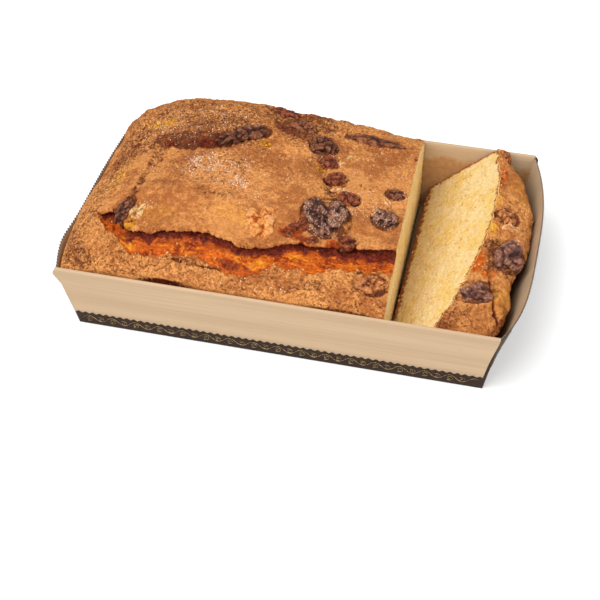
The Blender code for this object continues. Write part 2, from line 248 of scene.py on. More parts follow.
def feed(shader, **sockets):
    for key, value in sockets.items():
        openTrees[-1].links.new(value, shader.inputs[key.replace("_", " ")])


def openTree(kind, name, takes, gives):
    # a node tree of its own, with its inputs as (label, kind, value) and its outputs as (label, kind)
    tree = bpy.data.node_groups.new(name, kind)
    for label, sort, value in takes:
        socket = tree.interface.new_socket(label, in_out="INPUT", socket_type="NodeSocket" + sort)
        if value is not None:
            socket.default_value = value
    for label, sort in gives:
        tree.interface.new_socket(label, in_out="OUTPUT", socket_type="NodeSocket" + sort)
    openTrees.append(tree)
    return tree, tree.nodes.new("NodeGroupInput").outputs, tree.nodes.new("NodeGroupOutput").inputs


def giveBack(gives, **results):
    for label, value in results.items():
        openTrees[-1].links.new(value, gives[label])


def place(group, **values):
    made = openTrees[-1].nodes.new("ShaderNodeGroup")
    made.node_tree = group
    return fill(made, values)


# Geometry Nodes helpers

def newTree(name, takes):
    return openTree("GeometryNodeTree", name, (("Geometry", "Geometry", None), *takes),
                    (("Geometry", "Geometry"),))


def closeTree(gives, geometry, finish):
    # the last two steps of every tree: instances made real, then the finish
    real = add("GeometryNodeRealizeInstances", {"Geometry": geometry})
    giveBack(gives, Geometry=add("GeometryNodeSetMaterial", {"Geometry": real, "Material": finish}))


def runTree(tree, source, name, **values):
    # the tree's result on a copy of the source mesh, as a plain mesh
    holder = put(name + "_holder", source.copy())
    modifier = holder.modifiers.new(tree.name, "NODES")
    modifier.node_group = tree
    sockets = {item.name: item.identifier for item in tree.interface.items_tree if item.in_out == "INPUT"}
    for label, value in values.items():
        modifier[sockets[label]] = value
    result = evaluatedMesh(holder)
    bpy.data.objects.remove(holder)
    result.name = name
    return result


def randomNumber(low, high, seed, kind="FLOAT"):
    first, out = (0, 0) if kind == "FLOAT_VECTOR" else (2, 1)
    return add("FunctionNodeRandomValue", {first: low, first + 1: high, "Seed": seed}, out, data_type=kind)


# Shader groups

def makeBakedGrain():
    # the sandy grain of a baked surface: its height, its pits, its light flecks and its light and dark tone
    group, takes, gives = openTree("ShaderNodeTree", "bakedGrain",
                                   (("Coarseness", "Float", 1.0), ("Pitting", "Float", 0.5)),
                                   (("Height", "Float"), ("Pits", "Float"), ("Flecks", "Float"),
                                    ("Tone", "Float")))
    spot = millimetres()
    spot = add("ShaderNodeVectorMath", {0: spot, "Scale": takes["Coarseness"]}, operation="SCALE")
    mottled = cloud(spot, 0.30, 5.0, 0.72)
    sandy = cloud(spot, 0.85, 4.0, 0.75)
    pit = dots(spot, 0.62, 0.16, 0.40)
    finePit = dots(spot, 1.25, 0.14, 0.38)
    where = span(plus(mottled, times(takes["Pitting"], 0.16)), 0.58, 0.72)
    pits = times(calc("MAXIMUM", pit, times(finePit, 0.75)), where)
    flecks = times(dots(spot, 0.95, 0.12, 0.36), span(sandy, 0.48, 0.60))
    tone = plus(times(sandy, 0.65), times(mottled, 0.35))
    height = plus(times(mottled, 0.8), times(sandy, 0.8))
    height = minus(height, times(pits, 0.5))
    height = plus(height, times(flecks, 0.2))
    giveBack(gives, Height=height, Pits=pits, Flecks=flecks, Tone=span(tone, 0.39, 0.61))
    return group


def makeSugarDust():
    # fine sugar lying on whatever is under it
    group, takes, gives = openTree("ShaderNodeTree", "sugarDust",
                                   (("Color", "Color", (1, 1, 1, 1)), ("Amount", "Float", 0.0)),
                                   (("Color", "Color"), ("Mask", "Float")))
    spot = millimetres()
    amount = takes["Amount"]
    grains = dots(spot, 1.05, 0.16, 0.40)
    powder = cloud(spot, 0.55, 4.0, 0.75)
    powdery = span(plus(powder, times(amount, 0.24)), 0.60, 0.98)
    grainy = span(plus(powder, times(amount, 0.20)), 0.56, 0.70)
    mask = calc("MAXIMUM", times(powdery, 0.38), times(times(grains, grainy), 0.85))
    mask = times(mask, span(amount, 0.02, 0.30), clamp=True)
    giveBack(gives, Color=blend(mask, takes["Color"], (0.84, 0.68, 0.55)), Mask=mask)
    return group


def makeBoardGrain():
    # long paper fibres along the sheet, read from the flat sheet's own UV
    group, takes, gives = openTree("ShaderNodeTree", "boardGrain",
                                   (("Color", "Color", (1, 1, 1, 1)), ("Contrast", "Float", 0.3)),
                                   (("Color", "Color"), ("Height", "Float")))
    long = millimetres("UV", (18.0, 1000.0, 1000.0))
    flat = millimetres("UV")
    fibres = cloud(long, 0.9, 6.0, 0.7)
    wide = cloud(long, 0.12, 3.0, 0.5)
    specks = cloud(flat, 1.4, 3.0, 0.7)
    shade = plus(times(fibres, 0.55), times(wide, 0.45))
    dark = blend(1.0, takes["Color"], (0.72, 0.64, 0.56), "MULTIPLY")
    light = blend(1.0, takes["Color"], (1.12, 1.12, 1.14), "MULTIPLY")
    spreadOut = blend(span(shade, 0.36, 0.62), dark, light)
    spreadOut = blend(times(span(specks, 0.62, 0.75), 0.35), spreadOut, dark)
    giveBack(gives, Color=blend(takes["Contrast"], takes["Color"], spreadOut),
             Height=plus(times(fibres, 0.7), times(specks, 0.3)))
    return group


bakedGrain = makeBakedGrain()
sugarDust = makeSugarDust()
boardGrain = makeBoardGrain()
print("shader groups ready")


# Materials of the food

crustLook = dict(tan=(0.72, 0.290, 0.078), deepTan=(0.46, 0.148, 0.036), brown=(0.155, 0.036, 0.012),
                 pit=(0.13, 0.026, 0.008), fleck=(0.95, 0.56, 0.27), amber=(0.60, 0.108, 0.006),
                 rust=(0.25, 0.026, 0.003), strand=(0.84, 0.215, 0.013), hollowShade=(0.115, 0.012, 0.004),
                 yellow=(0.90, 0.42, 0.030), bright=(0.88, 0.33, 0.022))


def toned(base, tone, dark, light):
    # the base between a darker and a lighter self
    return blend(tone, blend(1.0, base, dark, "MULTIPLY"), blend(1.0, base, light, "MULTIPLY"))


def makeCrust():
    material, shader = newMaterial("bakedCrust", Specular_IOR_Level=0.14, Coat_Roughness=0.2)
    look = crustLook
    spot = millimetres()
    coarse = marked("coarse")
    grain = place(bakedGrain, Coarseness=1.0, Pitting=coarse)
    tone = times(minus(grain["Tone"], 0.5), plus(times(coarse, 0.52), 0.45))
    tone = plus(tone, 0.5, clamp=True)
    patchy = cloud(spot, 0.045, 4.0, 0.6)
    mottled = cloud(spot, 0.33, 5.0, 0.7)
    breakup = minus(mottled, 0.5)
    shade = plus(times(patchy, 0.6), times(mottled, 0.4))
    base = blend(span(shade, 0.42, 0.54), look["deepTan"], look["tan"])
    # browned places spread along the grain; the mark also carries painted shade in creases, cracks and round
    # the kernels
    browningAndShade = plus(marked("browningAndShade"), times(breakup, 1.8))
    browningAndShade = plus(browningAndShade, times(minus(grain["Tone"], 0.5), -0.35))
    brownMask = times(span(browningAndShade, 0.20, 0.80), 0.92)
    base = blend(brownMask, base, look["brown"])
    yellowed = times(marked("yellowed"), span(mottled, 0.36, 0.6))
    base = blend(yellowed, base, look["yellow"])
    base = toned(base, tone, (0.52, 0.42, 0.35), (1.28, 1.38, 1.52))
    base = blend(times(grain["Pits"], 0.72), base, look["pit"])
    base = blend(times(grain["Flecks"], 0.36), base, look["fleck"])
    # the torn split: moist crumb from amber to rust, with painted shade where it runs under the lid
    wet = cloud(spot, 0.11, 5.0, 0.68, 0.8)
    moistColour = blend(span(wet, 0.38, 0.53), look["rust"], look["amber"])
    strands = cloud(millimetres(stretch=(450.0, 1000.0, 1000.0)), 0.7, 4.0, 0.75)
    moistColour = blend(times(span(strands, 0.50, 0.62), 0.8), moistColour, look["strand"])
    moistColour = blend(times(marked("yellowed"), span(wet, 0.46, 0.58)), moistColour, look["bright"])
    moistColour = toned(moistColour, grain["Tone"], (0.68, 0.54, 0.48), (1.14, 1.22, 1.32))
    moistEdge = plus(marked("moist"), times(breakup, 1.5))
    moist = span(moistEdge, 0.30, 0.60)
    base = blend(moist, base, moistColour)
    # painted shade: this mark darkens the split under the lid, hollows, creases, cracks and the gap over the
    # rim
    deep = span(plus(marked("hollowShade"), times(breakup, 1.2)), 0.25, 1.0)
    hollowShadeColour = toned(colour(look["hollowShade"]), grain["Tone"], (0.45, 0.40, 0.40), (2.0, 2.2, 2.4))
    base = blend(deep, base, hollowShadeColour)
    dusted = place(sugarDust, Color=base, Amount=marked("sugar"))
    rough = blend(moist, (0.80, 0.80, 0.80), (0.46, 0.46, 0.46))
    wetHeight = cloud(spot, 0.6, 5.0, 0.75)
    height = add("ShaderNodeMix", {0: moist, 2: grain["Height"], 3: wetHeight})
    height = plus(height, times(dusted["Mask"], 0.3))
    feed(shader, Base_Color=dusted["Color"], Roughness=rough, Normal=bump(height, 1.5, 1.0),
         Coat_Weight=times(moist, 0.05))
    return material


crumbLook = dict(pale=(0.87, 0.64, 0.30), yellow=(0.83, 0.54, 0.15), pore=(0.50, 0.25, 0.050),
                 rind=(0.30, 0.072, 0.013), amber=(0.70, 0.20, 0.012))


def makeCrumb():
    material, shader = newMaterial("spongeCrumb", Roughness=0.88, Specular_IOR_Level=0.15,
                                   Subsurface_Weight=0.10, Subsurface_Scale=0.002,
                                   Subsurface_Radius=(1.0, 0.6, 0.3))
    look = crumbLook
    spot = millimetres()
    grain = place(bakedGrain, Coarseness=1.25, Pitting=0.1)
    tint = cloud(spot, 0.10, 4.0, 0.65)
    mottled = cloud(spot, 0.5, 5.0, 0.72)
    breakup = minus(mottled, 0.5)
    base = blend(times(span(tint, 0.44, 0.62), 0.8), look["pale"], look["yellow"])
    base = toned(base, grain["Tone"], (0.86, 0.80, 0.66), (1.07, 1.10, 1.20))
    small = dots(spot, 0.85, 0.14, 0.36)
    large = dots(spot, 0.30, 0.10, 0.20)
    holes = calc("MAXIMUM", times(small, span(mottled, 0.48, 0.62)), times(large, span(tint, 0.42, 0.56)))
    base = blend(times(holes, 0.55), base, look["pore"])
    # a moist band under the crust, and the browned rind round the slice
    tinted = plus(marked("moist"), times(breakup, 1.3))
    base = blend(times(span(tinted, 0.30, 0.90), 0.85), base, look["amber"])
    edge = plus(marked("rind"), times(breakup, 1.6))
    base = blend(span(edge, 0.35, 1.0), base, look["rind"])
    height = minus(plus(mottled, times(grain["Height"], 0.5)), times(holes, 0.6))
    feed(shader, Base_Color=base, Normal=bump(height, 1.0, 1.0))
    return material


# name: colours of the ridges (lighter, partly painted highlight), the skin and the folds (near black, painted
# shade), sugar dust, gloss
kernelLooks = {
    "darkKernel": ((0.27, 0.095, 0.040), (0.095, 0.024, 0.010), (0.018, 0.005, 0.003), 0.20, 0.22),
    "sugaredKernel": ((0.33, 0.130, 0.062), (0.110, 0.028, 0.013), (0.018, 0.005, 0.003), 0.75, 0.20),
    "plumKernel": ((0.36, 0.165, 0.095), (0.150, 0.048, 0.030), (0.034, 0.010, 0.007), 0.15, 0.32),
    "redKernel": ((0.34, 0.092, 0.034), (0.165, 0.032, 0.011), (0.036, 0.007, 0.003), 0.0, 0.22),
    "brownKernel": ((0.34, 0.120, 0.044), (0.16, 0.044, 0.016), (0.030, 0.008, 0.004), 0.15, 0.22),
    "crustedKernel": ((0.60, 0.245, 0.085), (0.38, 0.125, 0.036), (0.085, 0.018, 0.006), 0.05, 0.15),
    "paleKernel": ((0.78, 0.52, 0.24), (0.62, 0.34, 0.12), (0.26, 0.08, 0.020), 0.0, 0.15),
    "goldenKernel": ((0.62, 0.27, 0.022), (0.46, 0.16, 0.012), (0.16, 0.040, 0.006), 0.0, 0.15),
    "veiledKernel": ((0.77, 0.37, 0.13), (0.64, 0.22, 0.045), (0.30, 0.048, 0.006), 0.0, 0.12),
    "crustLip": ((0.84, 0.48, 0.24), (0.66, 0.30, 0.11), (0.34, 0.10, 0.030), 0.0, 0.12),
}


def makeKernel(name, ridgeColourAndHighlight, skinColour, foldShadeColour, dust, gloss):
    material, shader = newMaterial(name, Specular_IOR_Level=gloss)
    spot = millimetres()
    grain = place(bakedGrain, Coarseness=1.3, Pitting=0.3)
    veins = cloud(spot, 0.7, 5.0, 0.75, 1.0)
    ridge = plus(marked("ridge"), times(minus(veins, 0.5), 1.1))
    # painted shade darkens the folds and pits, and the ridges are lighter, partly painted highlight
    base = blend(span(ridge, 0.10, 0.60), foldShadeColour, skinColour)
    base = blend(span(ridge, 0.55, 1.10), base, ridgeColourAndHighlight)
    base = toned(base, grain["Tone"], (0.60, 0.56, 0.55), (1.30, 1.32, 1.35))
    base = blend(times(grain["Pits"], 0.6), base, foldShadeColour)
    amount = times(span(marked("ridge"), 0.2, 0.9, 0.3, 1.0), dust)
    dusted = place(sugarDust, Color=base, Amount=amount)
    rough = blend(dusted["Mask"], (0.45, 0.45, 0.45), (0.7, 0.7, 0.7))
    feed(shader, Base_Color=dusted["Color"], Roughness=rough,
         Normal=bump(plus(grain["Height"], veins), 0.7, 0.9))
    return material


crust = makeCrust()
crumb = makeCrumb()
kernels = {name: makeKernel(name, *look) for name, look in kernelLooks.items()}
print("food materials ready")


# The loaf's form, as in the solids

cutMiddle, cutTurn = 48.4, math.radians(1.9)
crown = ((-104, 51), (-86, 56), (-70, 60.5), (-50, 64.6), (-32, 65), (-19, 61), (5, 57.3), (26, 54), (50, 51))
splitLower = ((-92, -39.8), (-87, -46), (-83, -51.5), (-77.5, -55.5), (-74, -59), (-70, -62.3), (-62, -62.5),
              (-48, -61.5), (-39, -60.7), (-31, -63), (-16, -63.6), (-9, -60.5), (-3, -57), (15, -57),
              (23, -52), (48, -48))
splitUpper = ((-92, -37.6), (-86.5, -42), (-80, -42.5), (-75, -48), (-70, -53), (-60, -53.5), (-50, -52.2),
              (-40, -50.5), (-30, -51.5), (-20, -52.5), (-9, -50.5), (1, -45), (10, -44), (20, -41),
              (29, -38.5), (40, -36), (48, -33.5))
crease = ((-80, 6, 3.0, 0.6), (-68, 9, 4.5, 2.2), (-54, 7, 5.0, 2.8), (-42, 10, 5.5, 2.8),
          (-33, 17, 4.5, 2.0), (-24, 23, 3.0, 0.8))
sideSplit = ((-79, -43, 3.0, 1.8), (-75, -34, 2.6, 1.6), (-74, -21, 2.4, 1.1), (-74, -8, 2.4, 0.7),
             (-72, 3, 2.4, 0.5))
rightFold = ((-6, 17, 3.0, 0.8), (4, 11, 3.2, 1.6), (9, 1, 3.2, 1.6), (15, -8, 3.2, 1.8), (22, -18, 3.4, 1.6),
             (26, -27, 3.4, 1.4), (29, -36, 3.4, 1.2))


def caseHalfWidth(z):
    spread = caseSize["rimWidth"] - caseSize["baseWidth"]
    return (caseSize["baseWidth"] + spread * z / caseSize["height"]) / 2


def caseHalfLength(z):
    spread = caseSize["rimLength"] - caseSize["baseLength"]
    return (caseSize["baseLength"] + spread * z / caseSize["height"]) / 2


def endBow(y, z, bow, fullness=2.0):
    return bow * (1 - min(1.0, abs(y) / caseHalfWidth(z)) ** fullness) * z / caseSize["height"]


def wallBow(side, y, z):
    # both end walls are pressed out nearly up to their front corner
    if side < 0:
        bulge = 1.7 * math.exp(-((y + 47) / 13) ** 2) * z / caseSize["height"]
        bulge *= smooth(0.0, 8.0, caseHalfWidth(z) - abs(y))
        return endBow(y, z, caseSize["leftBow"], 4.0 if y < 0 else 2.0) + bulge
    return endBow(y, z, caseSize["rightBow"], 4.0 if y < 0 else 2.6)


def cutX(y):
    return cutMiddle - math.tan(cutTurn) * y


def loafLeft(y, z=caseSize["height"]):
    far = min(1.0, abs(y) / halfLoaf)
    inward = caseSize["tuckIn"] * max((0.3 if y < 0 else 1.0) * far ** 10,
                                      1.3 * clamp01(3 * y / halfLoaf - 1.85))
    inward += 1.5 * smooth(-25, 0, y) * smooth(58, 36, y)
    return gap - caseHalfLength(z) - endBow(y, z, caseSize["leftBow"]) + inward


def crustEdge(x):
    return caseSize["height"] - 0.5 + 0.9 * wander(x * 0.05, 3.1)


def dome(x, y):
    across = min(1.0, abs(y) / halfLoaf)
    full = 0.42 + 0.18 * clamp01((x + 50) / 96)
    arch = (1 - across ** 3) ** full
    fall = (1 - (1 - clamp01((x - loafLeft(y)) / 34.0)) ** 2.6) ** 0.55
    return crustEdge(x) + (reading(crown, x) - crustEdge(x)) * arch * fall


def crags(x, y):
    return 1.3 * wander(x * 0.035, y * 0.05, 1.7) + 0.5 * ripple(x, y, 0.14, 5.2)


def torn(x, seed):
    return 0.9 * wander(x * 0.22, 0.0, seed) + 0.5 * wander(x * 0.5, 0.0, seed + 5)


def splitLips(x):
    return reading(splitLower, x) + torn(x, 9.0), reading(splitUpper, x) + torn(x, 4.0)


def fromSides(y, width):
    # 0 at the cake's long sides, 1 from that width inward
    return smooth(0.0, width, halfLoaf - abs(y))


def crustHeight(x, y):
    # the domed crust with its creases, before the long split opens it
    sunk = trough(crease, x, y) + trough(sideSplit, x, y) + trough(rightFold, x, y)
    inward = fromSides(y, 6.0) * smooth(0.0, 5.0, x - loafLeft(y))
    return dome(x, y) + (crags(x, y) - sunk) * inward


splitProfile = ((-0.1, 0.0), (0.0, 0.2), (0.12, -1.3), (0.45, -2.7), (0.82, -3.1), (0.955, -2.7), (1.0, 1.0),
                (1.15, 1.2), (1.6, 0.3), (2.0, 0.0))


def splitOpened(x):
    # the split opens over a few millimetres at its left end
    return smooth(-93, -86, x)


def loafHeight(x, y):
    low, high = splitLips(x)
    split = reading(splitProfile, (y - low) / (high - low)) * splitOpened(x)
    return crustHeight(x, y) + split * fromSides(y, 2.5)


def newMarks(look):
    # one grid of zeros for each mark on a body's crust
    names = ("moist", "hollowShade", "browningAndShade", "sugar", "yellowed", "crumbly", "coarse")
    return {name: np.zeros((look["columns"], look["rows"])) for name in names}


def markBody(mesh, marks, top, spots, origin, cutColumn, moistDepth, cutEdge):
    # the crust's marks end at its rim, apart from moist; cutEdge gives rind and crumbs of the cut face
    values = {name: [] for name in (*marks, "rind")}
    for (i, j, share), spot in zip(origin, spots):
        fromTop = top[i, j, 2] - spot[2]
        for name in marks:
            fade = 1.0 if share == 0 else (1 - smooth(0.0, moistDepth, fromTop)) if name == "moist" else 0.0
            values[name].append(marks[name][i, j] * fade)
        rind, crumbly = cutEdge(spot, fromTop)
        values["rind"].append(rind if share > 0 else 0.0)
        if i == cutColumn and 0 < share < 1:
            values["crumbly"][-1] = crumbly
    for name, numbers in values.items():
        mark(mesh, name, numbers)


def closedBody(top, lowerPoint, cutColumn, cutRows):
    # top: grid of crust points; lowerPoint(i, j, share) goes from the rim down to the underside.
    # Returns the points, the faces, each face's finish and each point's (i, j, share).
    columns, rows = top.shape[:2]
    spots = [tuple(p) for p in top.reshape(-1, 3)]
    origin = [(i, j, 0.0) for i in range(columns) for j in range(rows)]
    faces = [(i * rows + j, (i + 1) * rows + j, (i + 1) * rows + j + 1, i * rows + j + 1)
             for i in range(columns - 1) for j in range(rows - 1)]
    finishes = [0] * len(faces)
    chains = {}

    def chain(i, j):
        if (i, j) not in chains:
            chains[i, j] = [i * rows + j]
            for k in range(1, cutRows + 1) if i == cutColumn else (cutRows,):
                chains[i, j].append(len(spots))
                spots.append(lowerPoint(i, j, k / cutRows))
                origin.append((i, j, k / cutRows))
        return chains[i, j]

    rim = [(i, 0) for i in range(columns - 1)] + [(columns - 1, j) for j in range(rows - 1)]
    rim += [(i, rows - 1) for i in range(columns - 1, 0, -1)] + [(0, j) for j in range(rows - 1, 0, -1)]
    for a, b in zip(rim, rim[1:] + rim[:1]):
        left, right = chain(*a), chain(*b)
        onCut = a[0] == cutColumn and b[0] == cutColumn
        if len(left) == len(right):
            faces += [(left[k], left[k + 1], right[k + 1], right[k]) for k in range(len(left) - 1)]
            finishes += [1 if onCut else 0] * (len(left) - 1)
        else:
            faces.append(tuple(left + right[::-1]))
            finishes.append(0)
    faces.append(tuple(chain(*r)[-1] for r in rim))
    finishes.append(0)
    return spots, faces, finishes, origin


def pushOut(top, relief):
    # moves each point of the grid along its normal by the relief there
    normal = np.cross(np.gradient(top, axis=0), np.gradient(top, axis=1))
    normal /= np.maximum(np.linalg.norm(normal, axis=2, keepdims=True), 1e-9)
    return top + normal * relief[..., None]


# The walnut kernels: node, X, Y, length, width, thickness, turn, sink, finish

loafKernels = (
    ("walnut_split_end", -75.6, -42.6, 16, 6.5, 8, 78, 0.5, "darkKernel"),
    ("walnut_crown_long", -35.3, 18.4, 26, 9, 8, 32, 0.3, "darkKernel"),
    ("walnut_back_ridge", -21.0, 48.5, 17, 8, 7, 4, 0.4, "redKernel"),
    ("walnut_back_brown", -10.5, 39.0, 14, 10, 8, -20, 1.0, "brownKernel"),
    ("walnut_crown_dark", 2.5, 26.0, 13, 13, 10, 25, 0.2, "darkKernel"),
    ("walnut_chip_a", 7.8, 15.4, 9, 8, 6, 25, 0.2, "redKernel"),
    ("walnut_chip_b", 13.6, 3.4, 10, 8, 7, 20, 0.2, "redKernel"),
    ("walnut_chip_c", 22.0, -8.4, 10, 9, 7, 5, 0.2, "redKernel"),
    ("walnut_heart", 14.6, -24.2, 26.5, 22.5, 12, 100, 0.4, "sugaredKernel"),
    ("walnut_split_chip", 27.6, -36.6, 8, 7, 7, 20, 0.4, "redKernel"),
    ("walnut_edge_chip", 42.3, 3.4, 9, 7, 6, 18, 0.8, "darkKernel"),
    ("walnut_edge", 40.8, -15.4, 15, 12, 9, 88, 0.9, "sugaredKernel"),
    ("walnut_front", 41.6, -54.6, 15, 9.5, 8, -6, 1.7, "crustedKernel"),
    ("walnut_back_long", 23.4, 42.4, 31, 9, 8, 6, 1.2, "brownKernel"),
    ("walnut_veiled", -12.6, -37.2, 23, 16, 8, 108, 1.8, "veiledKernel"),
)
heelKernels = (
    ("walnut_heel_big", 12.2, -12.0, 18, 16, 11, 40, 0.2, "plumKernel"),
    ("walnut_heel_cut", 5.6, -38.5, 15, 11, 10, 40, 1.2, "plumKernel"),
    ("walnut_heel_small", 6.2, 11.0, 11, 9, 7, 30, 1.6, "crustedKernel"),
)


def kernelEdge(table, x, y):
    # the crust parts in a thin gap round each kernel and rises beyond it: lift, and a ring of painted shade
    # in the gap close round the kernel
    lift, ringShade = 0.0, 0.0
    for row in table:
        dx, dy = x - row[1], y - row[2]
        if row[8] == "veiledKernel" or dx * dx + dy * dy > (0.5 * max(row[3], row[4]) + 5) ** 2:
            continue
        turn = math.radians(row[6])
        along = (dx * math.cos(turn) + dy * math.sin(turn)) / (row[3] / 2)
        across = (dy * math.cos(turn) - dx * math.sin(turn)) / (row[4] / 2)
        away = (math.hypot(along, across) - 1) * math.sqrt(row[3] * row[4]) / 2
        away += 0.5 * ripple(x, y, 0.5, 33)
        lift += 0.75 * math.exp(-((away - 1.7) / 1.0) ** 2) - 1.0 * math.exp(-((away - 0.1) / 0.6) ** 2)
        ringShade = max(ringShade, (1 - smooth(0.3, 1.6, away)) * clamp01(0.7 + 1.6 * ripple(x, y, 0.25, 34)))
    return lift, ringShade


# The loaf

# lumps, wet and shaky are layers of noise: (height, pitch, seed)
loafLook = dict(columns=330, apronRows=34, floorRows=46, lipRows=8, lidRows=112, cutRows=50, overhang=2.4,
                lumps=((0.5, 0.24, 40), (0.32, 0.6, 42)), shaky=((0.8, 0.5, 61), (0.5, 1.3, 62)))
loafLook["rows"] = sum(loafLook[name] for name in ("apronRows", "floorRows", "lipRows", "lidRows"))
# low swells of the crust beyond the solid's: (X, Y, radius along X, radius along Y, height)
loafSwells = ((-95, 40, 8, 13, 1.9), (8, 55, 26, 8, 1.8))
loafDents = ((-99, 2, 6, 12, 1.5),)
# where the lid's crust is smooth and where it is rough
calmPatches = ((-35, -28, 55, 26, 1.0), (30, -10, 28, 34, 0.8))
roughPatches = ((-60, 36, 44, 26, 1.0), (-92, 0, 10, 44, 0.8), (-10, 50, 24, 18, 0.8))
floorProfile = ((0.0, 0.4), (0.10, -1.4), (0.40, -2.8), (0.72, -3.3), (0.9, -3.2), (1.0, -2.6))
lipProfile = ((0.0, 1.0, -2.5), (0.35, 0.35, -1.2), (0.6, -0.05, -0.1), (0.8, 0.1, 0.7), (1.0, 0.45, 1.15))
sugarPatches = ((-46, -8, 10, 6, 1.0), (-31, -17, 9, 5, 0.95), (-40, -10, 24, 15, 0.40),
                (-24, -22, 12, 9, 0.30), (14, -34, 9, 5, 0.6), (2, 21, 10, 8, 0.35), (38, -16, 9, 8, 0.45),
                (-60, 26, 34, 18, 0.32), (-66, -42, 5, 6, 0.45), (-84, -20, 14, 22, 0.10),
                (20, 20, 30, 30, 0.16), (-10, -62, 50, 5, 0.16), (30, -8, 14, 10, 0.3), (44, 4, 4, 4, 0.6),
                (23, -16, 6, 4, 0.6), (-20, -8, 40, 26, 0.15))
brownPatches = ((-58, 34, 46, 24, 0.40), (-14, 46, 22, 15, 0.60), (-8, 30, 12, 10, 0.5),
                (-92, 8, 9, 34, 0.46), (-96, -34, 7, 26, 0.36), (14, 50, 28, 10, 0.24),
                (-36, -28, 13, 4, 0.44), (-62, -24, 12, 3, 0.38), (4, 13, 7, 7, 0.45), (-86, 22, 14, 10, 0.5),
                (28, 3, 14, 3, 0.30), (-72, 0, 5, 14, 0.5), (-62, 11, 24, 7, 0.75), (-46, 11, 10, 5, 1.0),
                (-30, 14, 10, 5, 0.5), (3, 18, 6, 10, 0.5), (-84, 8, 12, 8, 0.55), (-50, 27, 24, 9, 0.5),
                (-44, -12, 30, 16, 0.34), (-8, -4, 16, 18, 0.16), (-15, 34, 11, 7, 0.95),
                (-24, 44, 8, 4, 0.5), (14, -2, 6, 12, 0.4), (-40, -20, 5, 4, 0.4))
# patches of painted shade in the split where the lid overhangs it
hollowShadePatches = ((9, -44.0, 10, 2.6, 0.6), (38, -38.5, 9, 3.0, 1.0), (27, -41, 5, 3, 0.9),
                 (-70, -52, 4, 5, 0.8), (-80, -44, 5, 2.5, 0.7), (-50, -54.8, 12, 2.0, 0.55),
                 (-31, -53.8, 13, 1.8, 0.55), (-18, -60, 9, 2.6, 0.55), (-6, -50, 8, 2, 0.45),
                 (-64, -56.5, 6, 2.5, 0.45), (20, -42, 16, 2.2, 0.4), (-22, -59.5, 7, 3, 0.75),
                 (-62, -54, 6, 2.4, 0.6), (-36, -58, 4, 1.6, 0.4), (4, -58, 8, 1.6, 0.35),
                 (40, -41, 8, 2.4, 0.6))
lipFlaps = ((1, -39.5, 6, 3.2, 1.0), (5.5, -34.5, 3, 3, 0.9), (9, -42, 6, 2.2, 1.0), (23, -40, 5, 2.2, 0.9))
darkSpots = ((46.4, 35.3, 1.5, 1.2, 1.0), (-88, 12, 3.5, 2.0, 0.8), (-93, -4, 1.6, 7, 0.7),
             (6, -36, 5, 1.6, 0.7), (-17, 34, 5, 2.0, 0.7), (-7, 31, 3.5, 2.2, 0.7), (-27, 38, 3, 1.2, 0.5),
             (4, 33, 4, 2, 0.6))
yellowPatches = ((-80, 27, 8, 4.5, 1.0), (-24, 16, 3.2, 2.4, 0.7), (4, 10, 3.6, 2.8, 0.4),
                 (-26, -38, 10, 5, 0.25), (-60, -44, 10, 5, 0.25), (-88, -16, 6, 12, 0.35),
                 (-72, -57, 6, 4, 1.0), (-13, -56, 8, 4, 1.0), (-44, -57, 8, 3, 0.6), (8, -50, 7, 3, 0.7),
                 (30, -45, 6, 2.5, 0.6))
crackLines = (((30, -51.4, 0.9, 0.9), (37, -49.4, 1.1, 1.0), (46.6, -50.6, 1.1, 1.0)),
              ((46.6, -50.6, 1.0, 0.9), (48.4, -56, 0.9, 0.8)),
              ((-76, 4, 0.9, 0.6), (-69, -4, 1.0, 0.8), (-72, -12, 0.8, 0.6)),
              ((-70, 6, 1.0, 0.8), (-70, 1, 0.9, 0.6), (-73, -3, 0.7, 0.5)),
              ((-92, 14, 1.2, 0.7), (-89, 20, 1.3, 0.9), (-82, 18, 1.0, 0.7)),
              ((-94, 2, 1.4, 0.8), (-95, -7, 1.6, 1.0), (-92, -12, 0.9, 0.5)),
              ((10, 3, 1.0, 0.7), (14, -6, 1.0, 0.8), (19, -13, 1.0, 0.7)),
              ((1, -29, 1.2, 0.8), (4, -36, 1.4, 1.0), (9, -41, 1.3, 0.9)))
# on the steep front crust, as (X, Z, ...)
rimGap = ((-51, 38.2, 13, 2.0, 1.0), (30, 37.6, 16, 0.8, 0.7), (-84, 38.0, 10, 0.8, 0.5))
frontBrown = ((-93, 42, 12, 4, 0.55), (-70, 42, 10, 3, 0.35), (-20, 41, 20, 2.0, 0.3), (18, 46, 10, 2.0, 0.4))
frontCrack = ((-50, 50.5, 0.9, 1.0), (-41, 49.2, 1.0, 1.0), (-33, 49.0, 1.0, 1.0), (-24, 48.6, 0.9, 0.8),
              (-14, 46.8, 0.8, 0.6))
frontFlake = ((0, 45.8, 0.8, 0.7), (8, 44.6, 0.9, 0.9), (14, 45.0, 0.7, 0.6))


